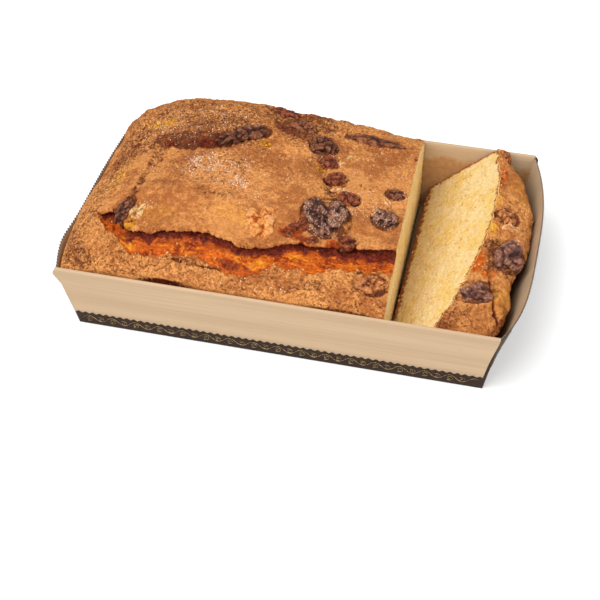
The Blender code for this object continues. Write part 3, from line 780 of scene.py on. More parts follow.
def loafSection(x):
    # rows across the loaf at x: (Y, lift over the crust, moist, painted shade under the lid)
    look = loafLook
    low = splitLips(x + 1.5 * wander(x * 1.1, 0.0, 31.0) * smooth(-66, -74, x))[0]
    high = splitLips(x)[1]
    low += 0.7 * wander(x * 0.9, 0.0, 21.0) + 0.45 * wander(x * 2.1, 0.0, 23.0)
    high += 0.6 * wander(x * 0.8, 0.0, 25.0) + 0.35 * wander(x * 2.2, 0.0, 27.0)
    shadeFrom = 0.70 + 0.22 * wander(x * 0.12, 0.0, 32.0) + 0.12 * wander(x * 0.4, 0.0, 35.0)
    low = max(low, -halfLoaf + 1.5)
    opened = splitOpened(x)
    under = look["overhang"] * opened * smooth(0.0, 5.0, cutX(0) - x) * (1 + 0.4 * wander(x * 0.12, 0, 30))
    section = []
    for k in range(look["apronRows"]):
        t = k / look["apronRows"]
        y = -halfLoaf + (low + halfLoaf) * t ** 1.25
        section.append((y, 0.4 * opened * smooth(1.6, 0.0, low - y),
                        0.42 * opened * smooth(1.8, 0.0, low - y), 0.0))
    for k in range(look["floorRows"]):
        t = k / (look["floorRows"] - 1)
        y = low + (high + under - low) * t
        section.append((y, opened * reading(floorProfile, t), opened * (0.42 + 0.58 * smooth(0.0, 0.12, t)),
                        opened * smooth(shadeFrom - 0.14, shadeFrom + 0.12, t)))
    for k in range(look["lipRows"]):
        t = (k + 1) / look["lipRows"]
        y = high + reading(lipProfile, t, 1) * (under if t < 0.6 else 1.0)
        section.append((y, opened * reading(lipProfile, t, 2), opened * (1 - smooth(0.3, 0.8, t)),
                        opened * (1 - smooth(0.35, 0.75, t))))
    start = section[-1][0]
    for k in range(look["lidRows"]):
        share = (k + 1) / look["lidRows"]
        y = start + (halfLoaf - start) * (0.45 * share + 0.55 * math.sin(share * math.pi / 2))
        section.append((y, 1.15 * opened * smooth(9.0, 0.5, y - high), 0.0, 0.0))
    return section


def widened(path, times):
    return tuple((x, y, half * times, depth) for x, y, half, depth in path)


def frontTears(x, z):
    # depths of the gap over the rim and of the cracks above it
    shaky = z + layered(x, z, loafLook["shaky"])
    crackDepth = max(trough(frontCrack, x, shaky), trough(frontFlake, x, shaky))
    return patches(rimGap, x, shaky), crackDepth * clamp01(0.9 + 1.6 * wander(x * 0.3, 7.0, 63))


def makeLoaf():
    look = loafLook
    top = np.zeros((look["columns"], look["rows"], 3))
    relief = np.zeros((look["columns"], look["rows"]))
    marks = newMarks(look)
    for i in range(look["columns"]):
        u = i / (look["columns"] - 1)
        share = 0.75 * u + 0.25 * u * u
        middle = loafLeft(0) + (cutX(0) - loafLeft(0)) * share
        section = loafSection(middle)
        for j, (y, lift, moist, hollowShade) in enumerate(section):
            x = loafLeft(y) + (cutX(y) - loafLeft(y)) * share
            inside = fromSides(y, 2.5)
            top[i, j] = (x, y, crustHeight(x, y) + lift * inside)
            lid = j >= look["apronRows"] + look["floorRows"]
            calm = patches(calmPatches, x, y) if lid else 0.0
            back = patches(roughPatches, x, y) if lid else 0.3
            rough = 1.0 - 0.7 * calm + 0.8 * back
            lumps = layered(x, y, look["lumps"])
            grains = 0.20 * ripple(x, y, 1.3, 44)
            pits = -0.55 * smooth(0.22, 0.5, ripple(x, y, 0.75, 46))
            wet = 0.75 * wander(x * 0.3, y * 0.36, 50) + 0.5 * wander(x * 0.8, y * 0.9, 52) + grains
            cracks = -0.7 * smooth(0.055, 0.0, abs(wander(x * 0.16, y * 0.34, 54))) * (0 if lid else 1)
            edge = fromSides(y, 1.6) * smooth(0.0, 1.5, x - loafLeft(y))
            shoulder = patches(loafSwells, x, y) - patches(loafDents, x, y)
            dry = rough * (lumps + pits + cracks) + grains + shoulder
            relief[i, j] = edge * (moist * wet + (1 - moist) * dry)
            flapped = patches(lipFlaps, x + 1.5 * ripple(x, y, 0.6, 86), y + 1.2 * ripple(x, y, 0.6, 87))
            flapped *= splitOpened(x) if lid else 0.0
            marks["moist"][i, j] = max(moist, flapped)
            z = top[i, j, 2]
            front = 1.0 if j < look["apronRows"] else 0.0
            gapDepth, crackDepth = frontTears(x, z) if front else (0.0, 0.0)
            ringLift, ringShade = kernelEdge(loafKernels, x, y)
            relief[i, j] += edge * ringLift - 1.4 * gapDepth - 0.7 * crackDepth
            jogX, jogY = jogged(x, y, 1.2, 64)
            tornDepth = max(trough(line, jogX, jogY) for line in crackLines)
            relief[i, j] -= 0.7 * tornDepth
            ragged = 0.5 + ripple(x, y, 0.45, 56) + 0.6 * ripple(x, y, 1.1, 57)
            path = max(1.15 * trough(widened(crease, 1.7), x, y) / 2.6,
                       1.3 * ragged * trough(widened(sideSplit, 1.5), x, y) / 1.4,
                       ragged * trough(widened(rightFold, 1.2), x, y) / 2.2)
            shadow = smooth(-0.22, 0.12, wander(x * 0.22, y * 0.45, 69))
            creaseDark = clamp01(trough(crease, x, y) / 1.5) * shadow
            deep = patches(hollowShadePatches, x, y) * (1 if moist > 0.2 else 0.25)
            # painted shade: the split under the lid, its patches, the creases, the gap over the rim, the
            # cracks and the flaps, with the dark spots
            marks["hollowShade"][i, j] = max(hollowShade, deep, 0.8 * creaseDark, 0.8 * flapped,
                                        patches(darkSpots, x, y), gapDepth, 0.6 * crackDepth,
                                        0.75 * tornDepth)
            # browning, with painted shade along the crease, side split and right fold, in the cracks and in a
            # ring round each kernel
            marks["browningAndShade"][i, j] = max(path, patches(brownPatches, x, y), -0.6 * cracks, 0.95 * ringShade,
                                         front * patches(frontBrown, x, z), crackDepth)
            drift = clamp01(0.75 + 0.9 * wander(x * 0.16, y * 0.2, 66) + 0.9 * ripple(x, y, 0.5, 67))
            marks["sugar"][i, j] = patches(sugarPatches, x, y) * (1 - 0.6 * moist) * drift
            marks["coarse"][i, j] = clamp01(max(0.45 - 0.4 * calm + 0.6 * back, path)
                                            + 0.5 * ripple(x, y, 0.07, 58))
            relief[i, j] -= edge * clamp01(path) * (0.5 + 1.6 * ripple(x, y, 0.35, 59)
                                                    + 0.9 * ripple(x, y, 0.9, 60))
            marks["yellowed"][i, j] = patches(yellowPatches, x, y) * (1.0 if lid else moist ** 2)
            clump = smooth(-0.05, 0.25, ripple(x, y, 0.3, 68))
            loose = 0.9 if 0.1 < moist < 0.95 and not lid else 0.15 * moist
            marks["crumbly"][i, j] = clump * loose * smooth(-92, -86, x)
    top = pushOut(top, relief)
    top[-1, :, 0] = [cutX(y) for y in top[-1, :, 1]]

    def lowerPoint(i, j, share):
        rim = Vector(top[i, j])
        y = rim.y * (caseHalfWidth(floorHeight) - gap) / halfLoaf
        left = loafLeft(y, floorHeight)
        along = (rim.x - loafLeft(rim.y)) / (cutX(rim.y) - loafLeft(rim.y))
        foot = Vector((left + (cutX(y) - left) * along, y, floorHeight))
        spot = rim.lerp(foot, share)
        if i == look["columns"] - 1:
            inner = min(share, 1 - share) * 4
            spot.x = cutX(spot.y) + 0.35 * min(1, inner) * ripple(spot.y, spot.z, 0.7, 60)
        return spot

    def cutEdge(spot, fromTop):
        fromSide = min(fromTop, spot[2] - floorHeight, caseHalfWidth(spot[2]) - abs(spot[1]))
        return 1 - smooth(0.3, 3.0, fromSide), 0.5 * (1 - smooth(0.0, 1.6, fromSide))

    spots, faces, finishes, origin = closedBody(top, lowerPoint, look["columns"] - 1, look["cutRows"])
    mesh = meshFrom("loaf_body", spots, faces, finishes)
    markBody(mesh, marks, top, spots, origin, look["columns"] - 1, 4.0, cutEdge)
    return rideRoot(objectFrom(mesh, (crust, crumb)), "loaf")


loaf = makeLoaf()
print("loaf ready:", len(loaf.data.polygons), "faces")


# The heel

heelLean, heelFootX, heelBase = math.radians(50.0), 50.6, 15.0
heelSection = ((-66, 25, 40, 18), (-60, 28, 45, 20), (-54, 32, 49, 21.5), (-46, 37, 52, 22),
               (-37, 39.5, 52.5, 22), (-28, 42, 52, 20.5), (-15, 45.5, 54, 21), (-3, 49, 57, 22.5),
               (10, 49, 57.5, 23), (24, 49.5, 57.5, 22.5), (32, 49.3, 56.5, 21), (40, 48.5, 55, 18),
               (50, 46, 51.5, 14), (60, 43.5, 47.5, 9), (66, 41.5, 43, 6))
heelCrack = ((4.5, -21, 2.0, 1.0), (10.8, -29, 2.4, 1.8), (18, -37.5, 2.4, 1.8), (21.5, -46, 2.4, 1.2))
heelPlace = Matrix.Translation((heelFootX, 0, floorHeight + heelBase * math.sin(heelLean))) @ Matrix.Rotation(
    heelLean, 4, "Y")
heelLook = dict(columns=72, rows=230, cutRows=90, lumps=((0.7, 0.22, 70), (0.45, 0.6, 72)),
                wet=((0.8, 0.5, 78), (0.4, 1.1, 79)))
heelMoist = ((1.5, -22, 3.0, 8, 0.62), (1.8, 46, 2.4, 8, 0.60), (1.2, 36, 1.6, 7, 0.55), (7, -26, 4, 4, 0.45),
             (1, 62, 3, 4, 0.30))
heelBrown = ((22, -48, 4, 9, 0.5), (14, 20, 10, 22, 0.30), (3, -50, 5, 10, 0.35), (5, 60, 6, 5, 0.6),
             (3, -10, 5, 5, 0.6), (9, -20, 6, 4, 0.7), (6, 14, 6, 5, 0.5), (2, -55, 4, 6, 0.5))
heelYellow = ((1.5, 0, 2.2, 5, 1.0), (0.8, 22, 1.6, 8, 0.7), (12, 36, 7, 14, 0.25), (16, -36, 6, 10, 0.4))
# thin torn lines round the loose flake and over the end, as (X, Y, half width, depth)
heelLines = (((6.8, -23, 0.8, 0.8), (8.5, -30.6, 1.1, 1.0), (11.0, -38.0, 1.2, 1.0), (13.1, -42.1, 1.1, 1.0),
              (15.3, -46.7, 1.2, 1.0), (19.0, -50.4, 1.2, 1.0)),
             ((13, -20, 1.2, 0.9), (18, -23, 1.2, 0.9), (22, -30, 1.0, 0.8)),
             ((12, -37, 0.6, 0.5), (19, -36, 0.6, 0.5)),
             ((3, 18, 0.8, 0.7), (8, 22, 0.8, 0.7), (11, 30, 0.6, 0.5)),
             ((2, -49, 0.7, 0.6), (7, -52, 0.7, 0.7), (12, -57, 0.7, 0.6)))
heelFlake = ((-52, 19.5), (-46.7, 15.6), (-42.1, 13.4), (-38.0, 11.3), (-30.6, 8.9), (-23, 7.2))
heelCalm = ((16, -35, 7, 12, 1.0), (12, 40, 10, 18, 0.8), (16, 8, 8, 10, 0.5))
heelLumps = ((2, 61, 4, 5, 2.4), (10, 44, 4, 8, 0.6), (15, 27, 5, 6, 0.3), (9, 3, 3, 4, 1.2),
             (14, -36, 4, 8, 1.0), (5, -52, 5, 6, 0.8))
heelPale = ((8, 6, 4, 5, 0.9), (12, -4, 4, 4, 0.6))


def heelHeight(x, y):
    thick = reading(heelSection, y, 3)
    share = clamp01(x / thick)
    rise = reading(heelSection, y, 1) * (1 - share) + reading(heelSection, y, 2) * share
    bulge = 1.5 * math.sin(share * math.pi) - 3.0 * share ** 6
    return rise + bulge + 0.8 * crags(x + 70, y * 1.6) - trough(heelCrack, x, y)


def heelLeaned(x, y, z):
    spot = heelPlace @ Vector((x, y, z))
    height = min(spot.z, caseSize["height"])
    spot.y *= (caseHalfWidth(height) - gap) / halfLoaf
    spot.x = min(spot.x, caseHalfLength(height) + endBow(spot.y, height, caseSize["rightBow"]) - gap)
    return spot


def makeHeel():
    look = heelLook
    upright = np.zeros((look["columns"], look["rows"], 3))
    relief = np.zeros((look["columns"], look["rows"]))
    marks = newMarks(look)
    for i in range(look["columns"]):
        for j in range(look["rows"]):
            v = 2 * j / (look["rows"] - 1) - 1
            y = halfLoaf * (0.55 * v + 0.45 * math.sin(v * math.pi / 2))
            u = i / (look["columns"] - 1)
            x = reading(heelSection, y, 3) * (0.35 * u + 0.65 * math.sin(u * math.pi / 2))
            upright[i, j] = (x, y, heelHeight(x, y))
            lumps = layered(x, y, look["lumps"])
            grains = 0.22 * ripple(x, y, 1.3, 74)
            pits = -0.6 * smooth(0.22, 0.5, ripple(x, y, 0.7, 76))
            wet = layered(x, y, look["wet"])
            moist = patches(heelMoist, x, y)
            calm = patches(heelCalm, x, y)
            jogX, jogY = jogged(x, y, 0.9, 82)
            tornDepth = max(trough(line, jogX, jogY) for line in heelLines)
            edge = fromSides(y, 1.2) * smooth(0.0, 0.12, 1 - u)
            ringLift, ringShade = kernelEdge(heelKernels, x, y)
            raised = patches(heelLumps, x, y) * (1 + 0.5 * ripple(x, y, 0.4, 75))
            flaked = smooth(-52, -47, y) * smooth(-22, -27, y)
            raised += 1.1 * smooth(0.0, 2.0, x - reading(heelFlake, y)) * flaked
            relief[i, j] = edge * (moist * wet + (1 - moist) * (lumps + pits) * (1.4 - calm) + grains
                                   + ringLift + raised - 0.9 * tornDepth)
            marks["moist"][i, j] = moist
            # painted shade in the crack and the torn lines
            marks["hollowShade"][i, j] = max(0.5 * trough(heelCrack, x, y) / 1.8, 0.95 * tornDepth)
            marks["yellowed"][i, j] = patches(heelYellow, x, y)
            # browning, darker towards the heel's far end, with painted shade round the kernels and in the
            # torn lines
            marks["browningAndShade"][i, j] = max(patches(heelBrown, x, y), 0.55 * smooth(0.82, 1.0, u), 0.95 * ringShade,
                                         0.5 * tornDepth)
            marks["sugar"][i, j] = 0.3 * patches(heelPale, x, y)
            marks["coarse"][i, j] = clamp01(0.5 + 0.5 * ripple(x, y, 0.1, 77) - 0.6 * calm)
            marks["crumbly"][i, j] = 0.4 * smooth(2.0, 0.0, x) + 0.7 * moist
    upright = pushOut(upright, relief)
    upright[0, :, 0] = 0.0

    def lowerPoint(i, j, share):
        rim = Vector(upright[i, j])
        u = i / (look["columns"] - 1)
        foot = Vector((heelBase * math.sin(u * math.pi / 2), rim.y, 0.0))
        spot = rim.lerp(foot, share)
        if i == 0:
            inner = min(1, min(share, 1 - share) * 5)
            spot.x = inner * (0.35 * ripple(spot.y, spot.z, 0.7, 80) + 0.3 * ripple(spot.y, spot.z, 0.2, 81))
        return spot

    def cutEdge(spot, fromTop):
        fromSide = min(spot[2] * 0.7, (halfLoaf - abs(spot[1])), fromTop * 1.3)
        ragged = 1.3 * ripple(spot[1], spot[2], 0.35, 84) + 0.8 * wander(spot[1], spot[2], 85)
        return 1 - smooth(0.3, 3.6, fromSide + ragged), 1 - smooth(0.0, 2.2, fromSide)

    spots, faces, finishes, origin = closedBody(upright, lowerPoint, 0, look["cutRows"])
    leaned = [heelLeaned(*p) for p in spots]
    mesh = meshFrom("heel_body", leaned, faces, finishes)
    markBody(mesh, marks, upright, spots, origin, 0, 5.0, cutEdge)
    return rideRoot(objectFrom(mesh, (crust, crumb)), "heel")


heel = makeHeel()
print("heel ready:", len(heel.data.polygons), "faces")


# The kernels themselves

heelBits = (
    ("bit_heel_a", 9.0, 5.0, 10, 6, 5, 30, 0.8, "crustLip"),
    ("bit_heel_b", 13.5, -1.5, 7, 5, 4, -20, 0.6, "crustLip"),
)
smallBits = (
    ("bit_cream", -69.8, -42.8, 14, 8, 6, 80, 1.6, "paleKernel"),
    ("bit_amber", -70.6, -49.6, 7, 6, 5, 10, 1.0, "goldenKernel"),
    ("bit_crown", -23.7, 16.0, 6.5, 5, 4, 20, 0.3, "goldenKernel"),
    ("bit_row_a", 4.2, 9.7, 6, 4, 3, 40, 0.3, "goldenKernel"),
    ("bit_row_b", 13.2, 16.0, 4.5, 3.5, 3, 0, 0.3, "paleKernel"),
    ("bit_row_c", 16.1, 22.9, 4, 3, 2.6, 60, 0.3, "paleKernel"),
    ("bit_lip_a", 17.4, -3.4, 10, 3.0, 2.6, 12, 0.1, "crustLip"),
    ("bit_lip_b", 38.6, -2.6, 8, 2.8, 2.4, -42, 0.1, "crustLip"),
    ("bit_lip_c", 35.2, -12.2, 8, 2.6, 2.4, 70, 0.1, "crustLip"),
    ("bit_flap_a", 3.0, -34.6, 7, 4, 3.4, 30, 0.2, "redKernel"),
    ("bit_flap_b", 5.6, -31.0, 6, 3.4, 3.0, 60, 0.2, "redKernel"),
    ("bit_flap_c", 12.4, -41.6, 6, 4.5, 3.6, 0, 0.2, "redKernel"),
    ("bit_flap_d", 1.5, -41.0, 5, 3, 2.6, -30, 0.1, "redKernel"),
)
kernelLook = dict(around=100, rings=64, wrinkle=1.35, groove=0.15, fine=3.3, fineGroove=0.055)
# lumps, bend of the outline, taper towards -X, notch at +X, fineness; the heart is a half with a deep notch
kernelShapes = {"walnut_heart": (0.05, 0.0, 0.46, 0.50, 1.3), "walnut_veiled": (0.08, 0.3, 0.20, 0.30, 0.7),
                "walnut_edge": (0.10, 0.3, 0.15, 0.15, 1.2), "walnut_heel_big": (0.12, 0.7, 0.15, 0.25, 0.9)}
plainShape = (0.15, 1.0, 0.0, 0.16, 1.0)


def crustFrame(height, x, y, turn, sink):
    step = 2.5
    run = (height(x + step, y) - height(x - step, y)) / (2 * step)
    rise = (height(x, y + step) - height(x, y - step)) / (2 * step)
    normal = Vector((-run, -rise, 1.0)).normalized()
    length = (Vector((1, 0, 0)) - normal * normal.x).normalized()
    axes = Matrix((length, normal.cross(length), normal)).transposed().to_4x4()
    spot = Vector((x, y, height(x, y))) - normal * sink
    return Matrix.Translation(spot) @ axes @ Matrix.Rotation(math.radians(turn), 4, "Z")


def makeKernelPiece(row, seed, height, lean, fine):
    node, x, y, length, width, thickness, turn, sink, finish = row
    look = kernelLook
    bm = bmesh.new()
    bmesh.ops.create_uvsphere(bm, u_segments=int(look["around"] * fine), v_segments=int(look["rings"] * fine),
                              radius=1.0)
    ridges = []
    mean = (length * width * thickness) ** (1 / 3)
    lumps, bend, taper, notched, finer = kernelShapes.get(node, plainShape)
    for v in bm.verts:
        p = v.co.copy()
        folds = lumps * noise.noise(p * 1.7 + Vector((seed * 7.3, 0, 0)))
        groove = 0.20 * math.exp(-(p.y / 0.20) ** 2) * max(0.0, 0.3 + p.z)
        notch = notched * math.exp(-(p.y / 0.26) ** 2) * max(0.0, p.x) ** 1.5
        around = math.atan2(p.y, p.x)
        outline = 0.10 * math.sin(2 * around + seed * 2.1) + 0.07 * math.sin(3 * around + seed * 1.3)
        outline = 1 + bend * (outline + 0.05 * math.sin(5 * around + seed * 4.7))
        p.x, p.y = p.x * outline, p.y * outline * (1 + taper * (p.x - 0.35))
        q = Vector((p.x * length, p.y * width, p.z * thickness)) / mean
        q += 0.22 * Vector((noise.noise(q * 2.4 + Vector((seed, 9, 0))),
                            noise.noise(q * 2.4 + Vector((4, seed, 1))), 0))
        wide = smooth(0.0, 0.26, abs(noise.noise(q * look["wrinkle"] + Vector((0, seed * 3.1, 8)))))
        narrow = smooth(0.0, 0.24, abs(noise.noise(q * look["fine"] * finer + Vector((seed * 1.7, 0, 3)))))
        veins = look["groove"] * (1 - wide) + look["fineGroove"] * finer * (1 - narrow)
        p *= 1.03 + folds - groove - notch - veins
        v.co = Vector((p.x * length, p.y * width, p.z * thickness)) / 2
        ridges.append(clamp01(0.62 * wide + 0.38 * narrow - 1.2 * groove))
    bmesh.ops.transform(bm, matrix=lean @ crustFrame(height, x, y, turn, sink), verts=bm.verts)
    mesh = bpy.data.meshes.new(node.replace("walnut", "kernel"))
    bm.to_mesh(mesh)
    bm.free()
    mark(mesh, "ridge", ridges)
    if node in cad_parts:
        return rideRoot(objectFrom(mesh, (kernels[finish],)), node)
    piece = rideRoot(objectFrom(mesh, (kernels[finish],)))
    return piece


onLoaf, onHeel = (loafHeight, Matrix.Identity(4)), (heelHeight, heelPlace)
for table, ground, firstSeed, fine in ((loafKernels, onLoaf, 3, 1.0), (heelKernels, onHeel, 3, 1.0),
                                       (smallBits, onLoaf, 40, 0.5), (heelBits, onHeel, 40, 0.5)):
    for seed, row in enumerate(table, firstSeed):
        makeKernelPiece(row, seed, *ground, fine)
print("kernels ready:", len(loafKernels) + len(heelKernels), "and", len(smallBits) + len(heelBits),
      "small bits")


# The folded case

boardLook = dict(kraft=(0.450, 0.315, 0.190), darkened=(0.43, 0.225, 0.088), printed=(0.036, 0.019, 0.012),
                 edge=(0.060, 0.040, 0.028), fibre=(0.16, 0.10, 0.062), gold=(0.52, 0.37, 0.17))


def makeKraft():
    material, shader = newMaterial("kraftBoard", Roughness=0.62, Specular_IOR_Level=0.35)
    grain = place(boardGrain, Color=colour(boardLook["kraft"]), Contrast=0.35)
    stain = cloud(millimetres(), 0.09, 5.0, 0.65)
    # the kraft is darkened in blotches, most low on the walls and on the case's floor, and a little towards
    # the flaps' right ends
    darkerMask = span(plus(marked("darkened"), times(minus(stain, 0.5), 1.3)), 0.35, 0.75)
    blotches = cloud(millimetres(), 0.35, 5.0, 0.7)
    tinted = blend(span(blotches, 0.40, 0.62), (0.36, 0.175, 0.062), boardLook["darkened"])
    base = blend(times(darkerMask, 0.9), grain["Color"], tinted)
    feed(shader, Base_Color=base, Normal=bump(grain["Height"], 0.12, 0.5))
    return material


def makePrinted():
    material, shader = newMaterial("printedBoard", Roughness=0.6, Specular_IOR_Level=0.12)
    grain = place(boardGrain, Color=colour(boardLook["printed"]), Contrast=0.8)
    feed(shader, Base_Color=grain["Color"], Normal=bump(grain["Height"], 0.08, 0.4))
    return material


def makeBoardEdge():
    material, shader = newMaterial("boardEdge", Roughness=0.8, Specular_IOR_Level=0.3)
    layers = cloud(millimetres(), 2.5, 3.0, 0.7)
    base = blend(span(layers, 0.35, 0.65), boardLook["edge"], boardLook["fibre"])
    feed(shader, Base_Color=base, Normal=bump(layers, 0.1, 0.5))
    return material


def makeGold():
    material, shader = newMaterial("goldInk", Specular_IOR_Level=0.4, Metallic=0.1)
    worn = cloud(millimetres(), 1.1, 4.0, 0.7)
    base = blend(span(worn, 0.42, 0.60), (0.14, 0.090, 0.045), boardLook["gold"])
    feed(shader, Base_Color=base, Roughness=span(worn, 0.3, 0.7, 0.38, 0.6))
    return material


def tooth(s, pitch):
    # rounded zigzag of a pinked edge, 0 on a tip and 1 in a notch
    t = abs((s / pitch) % 1.0 * 2 - 1)
    return t * t * (3 - 2 * t) * 0.5 + t * 0.5


def wallSlope():
    return math.atan2((caseSize["rimWidth"] - caseSize["baseWidth"]) / 2, caseSize["height"])


wallRows = [caseSize["board"] + (caseSize["height"] - caseSize["board"]) * r
            for r in (0, 0.03, 0.1, 0.25, 0.4, 0.55, 0.7, 0.82, 0.92, 1.0)]
longSteps = 6 * round(caseSize["rimLength"] / caseSize["toothPitch"])
endSteps = 6 * round(caseSize["rimWidth"] / caseSize["rimPitch"])


def endSpot(side, s, z):
    # a point of an end wall, s from -1 to 1 across it: how far out along X, then Y and Z
    c = caseSize
    tuck = clamp01(3 * s - 2) * z / c["height"] if side < 0 else 0.0
    low = z - c["tuckDip"] * tuck
    reach = caseHalfLength(z) + wallBow(side, s * caseHalfWidth(z), z) - c["tuckIn"] * tuck
    return reach, s * caseHalfWidth(low), low


# Each sheet of the board is a grid of (point, sheet UV, darkening of the kraft), rows by columns

def longWall(side):
    c = caseSize
    grid = []
    for z in wallRows:
        row = []
        for k in range(longSteps + 1):
            x = (2 * k / longSteps - 1) * caseHalfLength(z)
            # the back wall dips and turns in where its left corner is tucked behind the loaf
            fromCorner = (x + caseHalfLength(z)) / c["tuckStart"]
            tuck = clamp01(1 - fromCorner) * z / c["height"] if side > 0 else 0.0
            low = z - c["tuckDip"] * tuck
            row.append(((x + c["tuckIn"] * tuck, side * caseHalfWidth(low), low),
                        (x, side * (c["baseWidth"] / 2 + z)), smooth(34.5, 28.5, z) * 0.9))
        grid.append(row)
    return grid


def foldAndFlap(side, rim):
    # over the fold and down outside; the back flap starts past the tucked corner
    c = caseSize
    slope = wallSlope()
    first = round(c["tuckStart"] / c["rimLength"] * longSteps) if side > 0 else 0
    shares = [(m - first) / (longSteps - first) for m in range(first, longSteps + 1)]
    sheetTop = c["baseWidth"] / 2 + c["height"]
    pivotY, pivotZ = c["rimWidth"] / 2 + c["foldRadius"], c["height"] - c["foldRadius"] * 0.4
    topHalf = c["rimLength"] / 2 + 0.4
    foldLeft = topHalf - (c["tuckStart"] if side > 0 else 0.0)
    grid = [rim[first:]]
    for k in range(1, 6):
        turn = math.pi * k / 5 - slope * (k / 5)
        outY = pivotY - c["foldRadius"] * math.cos(turn)
        outZ = pivotZ + c["foldRadius"] * math.sin(turn) * 1.05
        across = [-foldLeft + (foldLeft + topHalf) * share for share in shares]
        grid.append([((x, side * outY, outZ), (x, side * (sheetTop + k * 0.6)), 0.0) for x in across])
    drop = (outZ - c["flapFoot"]) / math.cos(slope)
    for r in (0.015, 0.03, 0.05, 0.08, 0.13, 0.18, 0.32, 0.48, 0.64, 0.8, 0.92, 1.0):
        plain = topHalf * (1 - r) + (caseHalfLength(c["flapFoot"]) - 0.4) * r
        flare = c["ear"] * smooth(0.0, 0.08, r) * (1 - smooth(0.12, 0.3, r))
        if side < 0:
            left = plain + flare
            right = plain - smooth(0.0, 0.7, r) * (1 - 0.3 * r)
        else:
            left = plain - (plain - foldLeft) * (1 - smooth(0.02, 0.14, r))
            right = plain + flare
        row = []
        for share in shares:
            x = -left + (left + right) * share
            d = drop * r
            if r > 0.85:
                d -= c["flapToothDepth"] * tooth(x, c["toothPitch"]) * (r - 0.85) / 0.15
            sway = 0.25 * wander(x * 0.03, side * 3.0, 2.0) * r
            spot = (x, side * (outY - d * math.sin(slope) + sway + 0.15), outZ - d * math.cos(slope))
            row.append((spot, (x, side * (sheetTop + 4 + d)), 0.25 * smooth(0.45, 0.95, share)))
        grid.append(row)
    return grid


def endWall(side):
    c = caseSize
    grid = []
    for z in (*wallRows[:-1], c["height"] - 0.7, c["height"]):
        row = []
        for k in range(endSteps + 1):
            s = 2 * k / endSteps - 1
            flatY = s * caseHalfWidth(z)
            reach, y, low = endSpot(side, s, z)
            dip = c["toothDepth"] * tooth(flatY, c["rimPitch"]) if z == c["height"] else 0.0
            h = low - dip * smooth(0.0, 1.5, caseHalfWidth(z) - abs(flatY))
            row.append(((side * reach, y, h), (side * (c["baseLength"] / 2 + h), flatY),
                        smooth(30.0, 12.0, z) * 0.8))
        grid.append(row)
    return grid


def caseFloor():
    # the floor's outline, once round the foot of the walls
    z = wallRows[0]
    xs = [(2 * k / longSteps - 1) * caseHalfLength(z) for k in range(longSteps + 1)]
    ys = [(2 * m / endSteps - 1) * caseHalfWidth(z) for m in range(endSteps + 1)]
    ring = [(x, ys[0]) for x in xs[:-1]] + [(xs[-1], y) for y in ys[:-1]]
    ring += [(x, ys[-1]) for x in xs[:0:-1]] + [(xs[0], y) for y in ys[:0:-1]]
    return [((x, y, z), (x, y), 0.8) for x, y in ring]


def makeCase():
    c = caseSize
    spots, faces, sheets, darkened = [], [], [], []
    known = {}

    def point(p, darkening):
        key = tuple(round(a, 4) for a in p)
        if key not in known:
            known[key] = len(spots)
            spots.append(tuple(p))
            darkened.append(darkening)
        return known[key]

    def strip(grid):
        for a, b in zip(grid, grid[1:]):
            for k in range(len(a) - 1):
                corners = (a[k], a[k + 1], b[k + 1], b[k])
                ids = [point(q[0], q[2]) for q in corners]
                if len(set(ids)) == 4:
                    faces.append(ids)
                    sheets.append([q[1] for q in corners])

    for side in (-1, 1):
        wall = longWall(side)
        strip(wall)
        strip(foldAndFlap(side, wall[-1]))
    inked = set()
    for side in (-1, 1):
        wall = endWall(side)
        strip(wall[:-1])
        plain = len(faces)
        strip(wall[-2:])
        inked.update(range(plain, len(faces)))
    ring = caseFloor()
    faces.append([point(q[0], q[2]) for q in ring])
    sheets.append([q[1] for q in ring])
    # three faces of every six along the end rims show the ink between the teeth
    finishes = [2 if k in inked and k % 6 < 3 else 0 for k in range(len(faces))]
    mesh = meshFrom("case_board", spots, faces, finishes)
    uv = mesh.uv_layers.new(name="sheet")
    flat = [value * mm for sheet in sheets for pair in sheet for value in pair]
    uv.data.foreach_set("uv", flat)
    mark(mesh, "darkened", darkened)
    obj = objectFrom(mesh, (makeKraft(), makePrinted(), makeBoardEdge()))
    # the sheet's normals face the food
    bm = bmesh.new()
    bm.from_mesh(obj.data)
    bm.faces.ensure_lookup_table()
    if bm.faces[-1].normal.z < 0:
        bmesh.ops.reverse_faces(bm, faces=bm.faces)
    bm.to_mesh(obj.data)
    bm.free()
    board = obj.modifiers.new("board", "SOLIDIFY")
    board.thickness = c["board"] * mm
    board.offset = -1.0
    board.use_even_offset = True
    board.material_offset = 1
    board.material_offset_rim = 2
    made = evaluatedMesh(obj)
    obj.modifiers.clear()
    obj.data = made
    return rideRoot(obj, "case")


case = makeCase()
print("case ready:", len(case.data.polygons), "faces")


# Sugar and crumbs

grainLook = dict(sugarPerSquareMetre=1.7e6, sugarSize=0.00034, crumbsPerSquareMetre=4.0e5, crumbSize=0.00048)


def makeSugarFinish():
    material, shader = newMaterial("sugarCrystal", Specular_IOR_Level=0.3)
    clouds = cloud(millimetres(), 1.3, 3.0, 0.7)
    base = blend(span(clouds, 0.42, 0.58), (0.78, 0.54, 0.36), (0.95, 0.84, 0.70))
    feed(shader, Base_Color=base, Roughness=span(clouds, 0.3, 0.7, 0.2, 0.5))
    return material


def makeLooseCrumbFinish(name, dark, light):
    material, shader = newMaterial(name, Roughness=0.85, Specular_IOR_Level=0.15)
    spot = millimetres()
    tint = cloud(spot, 0.6, 3.0, 0.7)
    fine = cloud(spot, 3.0, 3.0, 0.7)
    base = blend(span(tint, 0.40, 0.60), dark, light)
    base = toned(base, span(fine, 0.4, 0.6), (0.7, 0.66, 0.6), (1.15, 1.18, 1.2))
    feed(shader, Base_Color=base, Normal=bump(fine, 0.3, 0.8))
    return material


